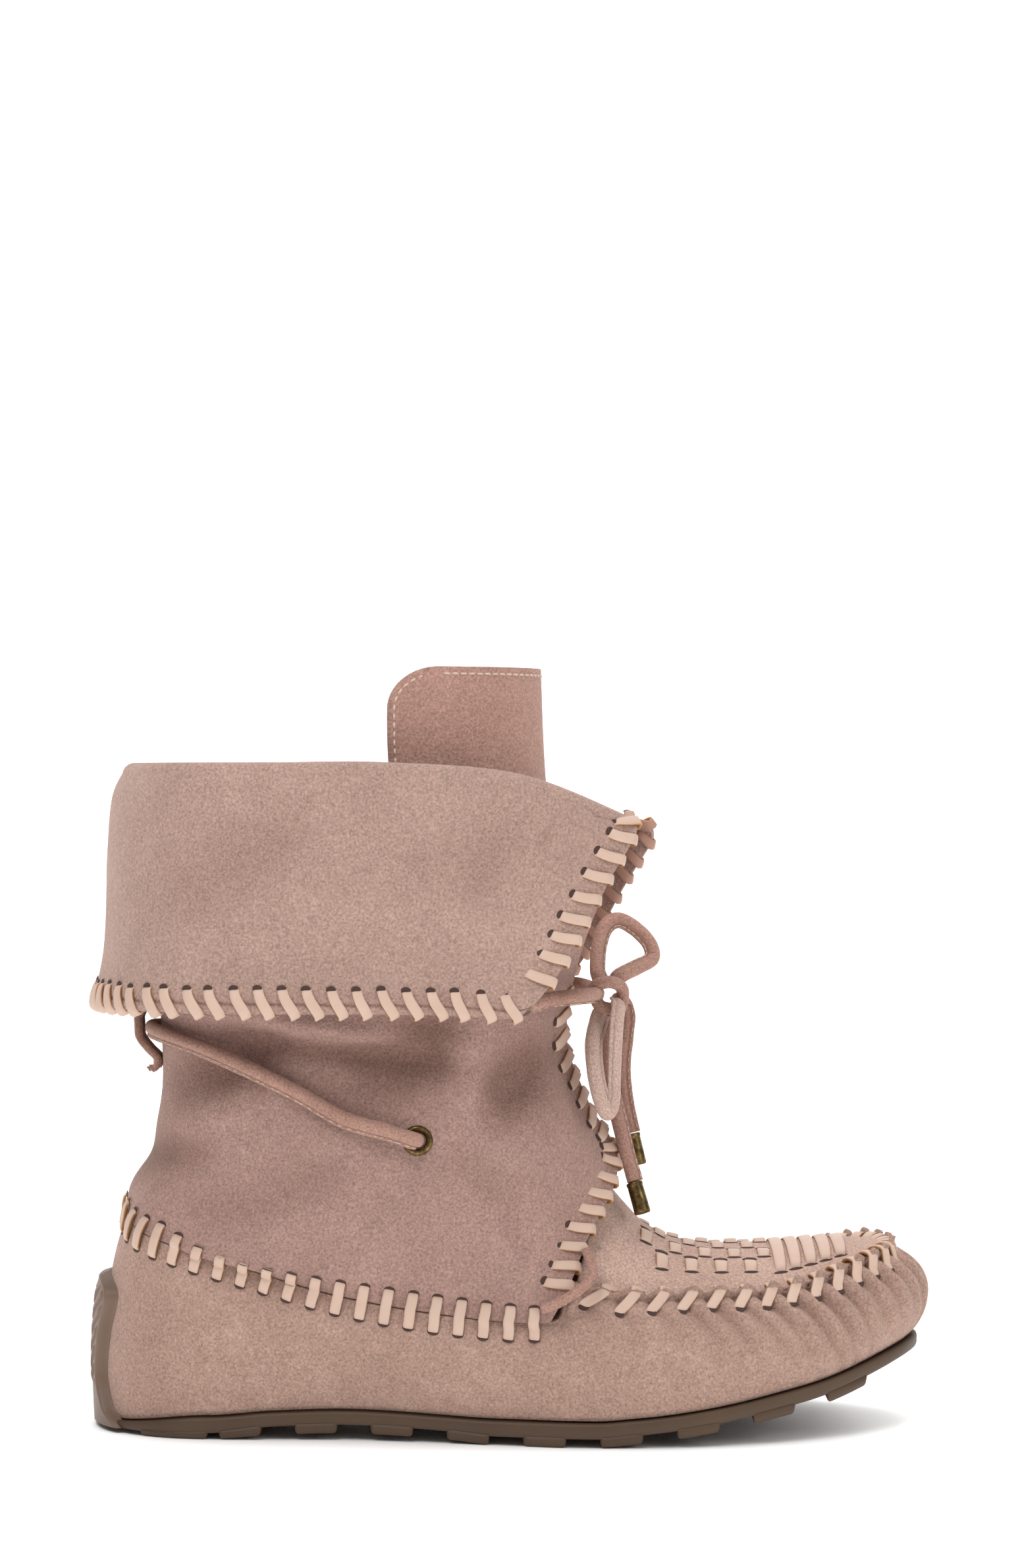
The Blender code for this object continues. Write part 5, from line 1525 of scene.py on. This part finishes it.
def build_thong():
    """The strip's end, drawn out at the shaft's lower front corners and left as a short flat thong."""
    mesh = bmesh.new()
    for side in (1, -1):
        path = smooth_path([Vector((x, y * side, z)) for x, y, z in THONG], 28)
        rows = []
        for k, point in enumerate(path):
            tangent = (path[min(k + 1, 28)] - path[max(k - 1, 0)]).normalized()
            across = tangent.cross(Vector((0, side, 0))).normalized()
            facing = across.cross(tangent)
            rows.append([point + across * a * THONG_WIDTH + facing * b * THONG_THICK for a, b in STRIP_SECTION])
        lines = grow_rows(mesh, rows, closed=True)
        for line in (lines[0], lines[-1]):
            bmesh.ops.contextual_create(mesh, geom=line)
    bmesh.ops.recalc_face_normals(mesh, faces=mesh.faces)
    place_piece(add_object("corner_thong", mesh, LACE_SUEDE), "lace")


build_whip_stitches()
build_foot_seam_stitches()
build_thong()


# Tongue
# A tall curved flap with rounded top corners and one row of machine stitching inside its edge.
TONGUE = (
    (0.3285, 0.218, 1.084, 0.929, 0.93),
    (0.424, 0.400, 1.036, 0.843, 0.82),
    (0.530, 0.530, 0.979, 0.764, 0.84),
    (0.636, 0.636, 0.971, 0.693, 0.94),
    (0.763, 0.763, 0.964, 0.629, 1.00),
    (0.890, 0.890, 0.950, 0.607, 1.00),
    (1.000, 1.000, 0.943, 0.607, 0.97),
)
TONGUE_STITCH_INSET = 0.0022
TONGUE_STITCH_PITCH = 0.0027
TONGUE_AXIS = 0.063


def tongue_point(at, side):
    """A point of the tongue: at counts its rows of sections upwards, side runs from -1 to 1 across."""
    middle_height, wing_height, front, wing, width = spline(TONGUE, at)
    left = TONGUE_HEIGHT * (1 - middle_height)
    trim = 0.0
    if left < TONGUE_CORNER:
        trim = TONGUE_CORNER - math.sqrt(TONGUE_CORNER ** 2 - (TONGUE_CORNER - left) ** 2)
    reach = SHAFT_LENGTH * (front - wing)
    angle = math.pi / 2 * (1 - trim / (reach * 1.3)) * side
    return Vector((SHAFT_LENGTH * wing - SHAFT_BACK + reach * math.cos(angle),
                   TONGUE_WIDTH / 2 * width * math.sin(angle),
                   TONGUE_HEIGHT * blend(middle_height, wing_height, abs(math.sin(angle)) ** 1.8)))


def build_tongue():
    rows = []
    for k in range(97):
        at = (len(TONGUE) - 1) * (1 - (1 - k / 96) ** 1.8)
        rows.append([tongue_point(at, 2 * j / 60 - 1) for j in range(61)])
    place_piece(sheet("tongue_flap", rows, [[0.0] * 61 for _ in rows], TONGUE_SUEDE, TONGUE_WALL), "suede", "tongue")
    sides = rows[40:]
    border = [(row[0], row[3]) for row in sides] + [(point, point - Vector((0, 0, 1))) for point in rows[-1][1:-1]]
    border += [(row[-1], row[-4]) for row in reversed(sides)]
    inset = []
    for k, (point, inside) in enumerate(border):
        along = (border[min(k + 1, len(border) - 1)][0] - border[max(k - 1, 0)][0]).normalized()
        inward = inside - point
        inward = (inward - along * inward.dot(along)).normalized()
        normal = along.cross(inward)
        normal = normal if normal.dot(point - Vector((TONGUE_AXIS, 0, point.z))) > 0 else -normal
        inset.append((point + inward * TONGUE_STITCH_INSET, inward, normal))
    threads = bmesh.new()
    places = [place for place, _, _ in inset]
    for k, share in walk(places, TONGUE_STITCH_PITCH, TONGUE_STITCH_PITCH):
        _, inward, normal = inset[k]
        along = (places[k + 1] - places[k]).normalized() * TONGUE_STITCH_PITCH * 0.33
        middle = places[k].lerp(places[k + 1], share) + normal * 0.0002
        sweep(threads, [middle - along - normal * 0.0003, middle, middle + along - normal * 0.0003],
              [(0.00034 * math.cos(a), 0.00034 * math.sin(a)) for a in (math.pi / 3 * j for j in range(6))], inward)
    bmesh.ops.recalc_face_normals(threads, faces=threads.faces)
    place_piece(add_object("tongue_stitching", threads, THREAD), "suede")


build_tongue()


# Eyelets and keeper
# Turned brass eyelets are set through the shaft. The keeper is a short suede strap sewn on the back seam,
# with a raw end hanging below the cord.
EYELET_HOLE = 0.0050
EYELET_BARREL = 0.0060
EYELET_FLANGE = 0.0092
EYELET_SEAT = 0.0007
KEEPER_WIDTH = 0.0100
KEEPER_WALL = 0.0014
KEEPER_HEIGHT = 0.604
KEEPER_RISE = 0.0105


def build_eyelet(name, at, height):
    """A pressed ring with a rounded flange and a rolled lip inside the shaft, with a dark disc of painted shade in
    its throat.
    """
    point, normal = on_shaft(at, height), shaft_normal(at, height)
    side = normal.orthogonal().normalized()
    other = normal.cross(side)
    band = (EYELET_FLANGE - EYELET_HOLE) / 4
    middle = EYELET_HOLE / 2 + band
    profile = [(EYELET_HOLE / 2, -SHAFT_WALL - EYELET_SEAT)]
    profile += [(middle - band * math.cos(a), EYELET_SEAT * 0.4 + band * 0.85 * math.sin(a))
                for a in (math.pi * k / 12 for k in range(13))]
    profile.append((EYELET_BARREL / 2, 0.0))
    mesh = bmesh.new()
    grow_rows(mesh, [[point + normal * rise + side * radius * math.cos(a) + other * radius * math.sin(a)
                      for a in (2 * math.pi * k / 48 for k in range(48))] for radius, rise in profile], closed=True)
    bmesh.ops.recalc_face_normals(mesh, faces=mesh.faces)
    place_piece(add_object(name + "_ring", mesh, BRASS), "metal", name)
    # Painted shade: a dark disc in the eyelet's hole.
    throat = bmesh.new()
    hole(throat, point - normal * 0.0001, normal, side, EYELET_HOLE * 1.02, EYELET_HOLE * 1.02)
    finish_hole_shades(name + "_throat_shade", throat)


def build_keeper():
    middle = BOOT_HEIGHT * KEEPER_HEIGHT
    room = LACE_DIAMETER + 3 * FIT
    shape = ((-1.2, 0.0), (-1.0, 0.0), (-0.72, 0.5), (-0.30, 1.0), (0.30, 1.0), (0.72, 0.5), (1.0, 0.0), (1.2, 0.0))
    rows, wander = [], random.Random(4)
    for k in range(57):
        rise, stand = spline(shape, 7 * k / 56)
        out = 2 * FIT + room * min(max(stand, 0.0), 1.02) + KEEPER_WALL + 0.0008
        point = on_shaft(6, middle + KEEPER_RISE * rise) + Vector((-out, 0, 0))
        rows.append([Vector((point.x + j * j * 0.00001, KEEPER_WIDTH / 20 * j, point.z
                             + (wander.uniform(-0.0003, 0.0003) if k in (0, 56) else 0))) for j in range(-10, 11)])
    # Painted shade on the strap's middle, where it stands off the shaft over the cord.
    keeper_painted_shades = [[0.35 if 18 < k < 38 else 0.0] * 21 for k in range(57)]
    strap = sheet("keeper_strap", rows, keeper_painted_shades, LACE_SUEDE, KEEPER_WALL + 0.0008)
    place_piece(strap, "suede", "heel_keeper")


for side_name, mirror in (("outer", False), ("inner", True)):
    for place_name, (ring_place, share_up) in (("rear", BACK_EYELET), ("front", FRONT_EYELET)):
        build_eyelet("eyelet_%s_%s" % (place_name, side_name), 12 - ring_place if mirror else ring_place,
                     BOOT_HEIGHT * share_up)
build_keeper()
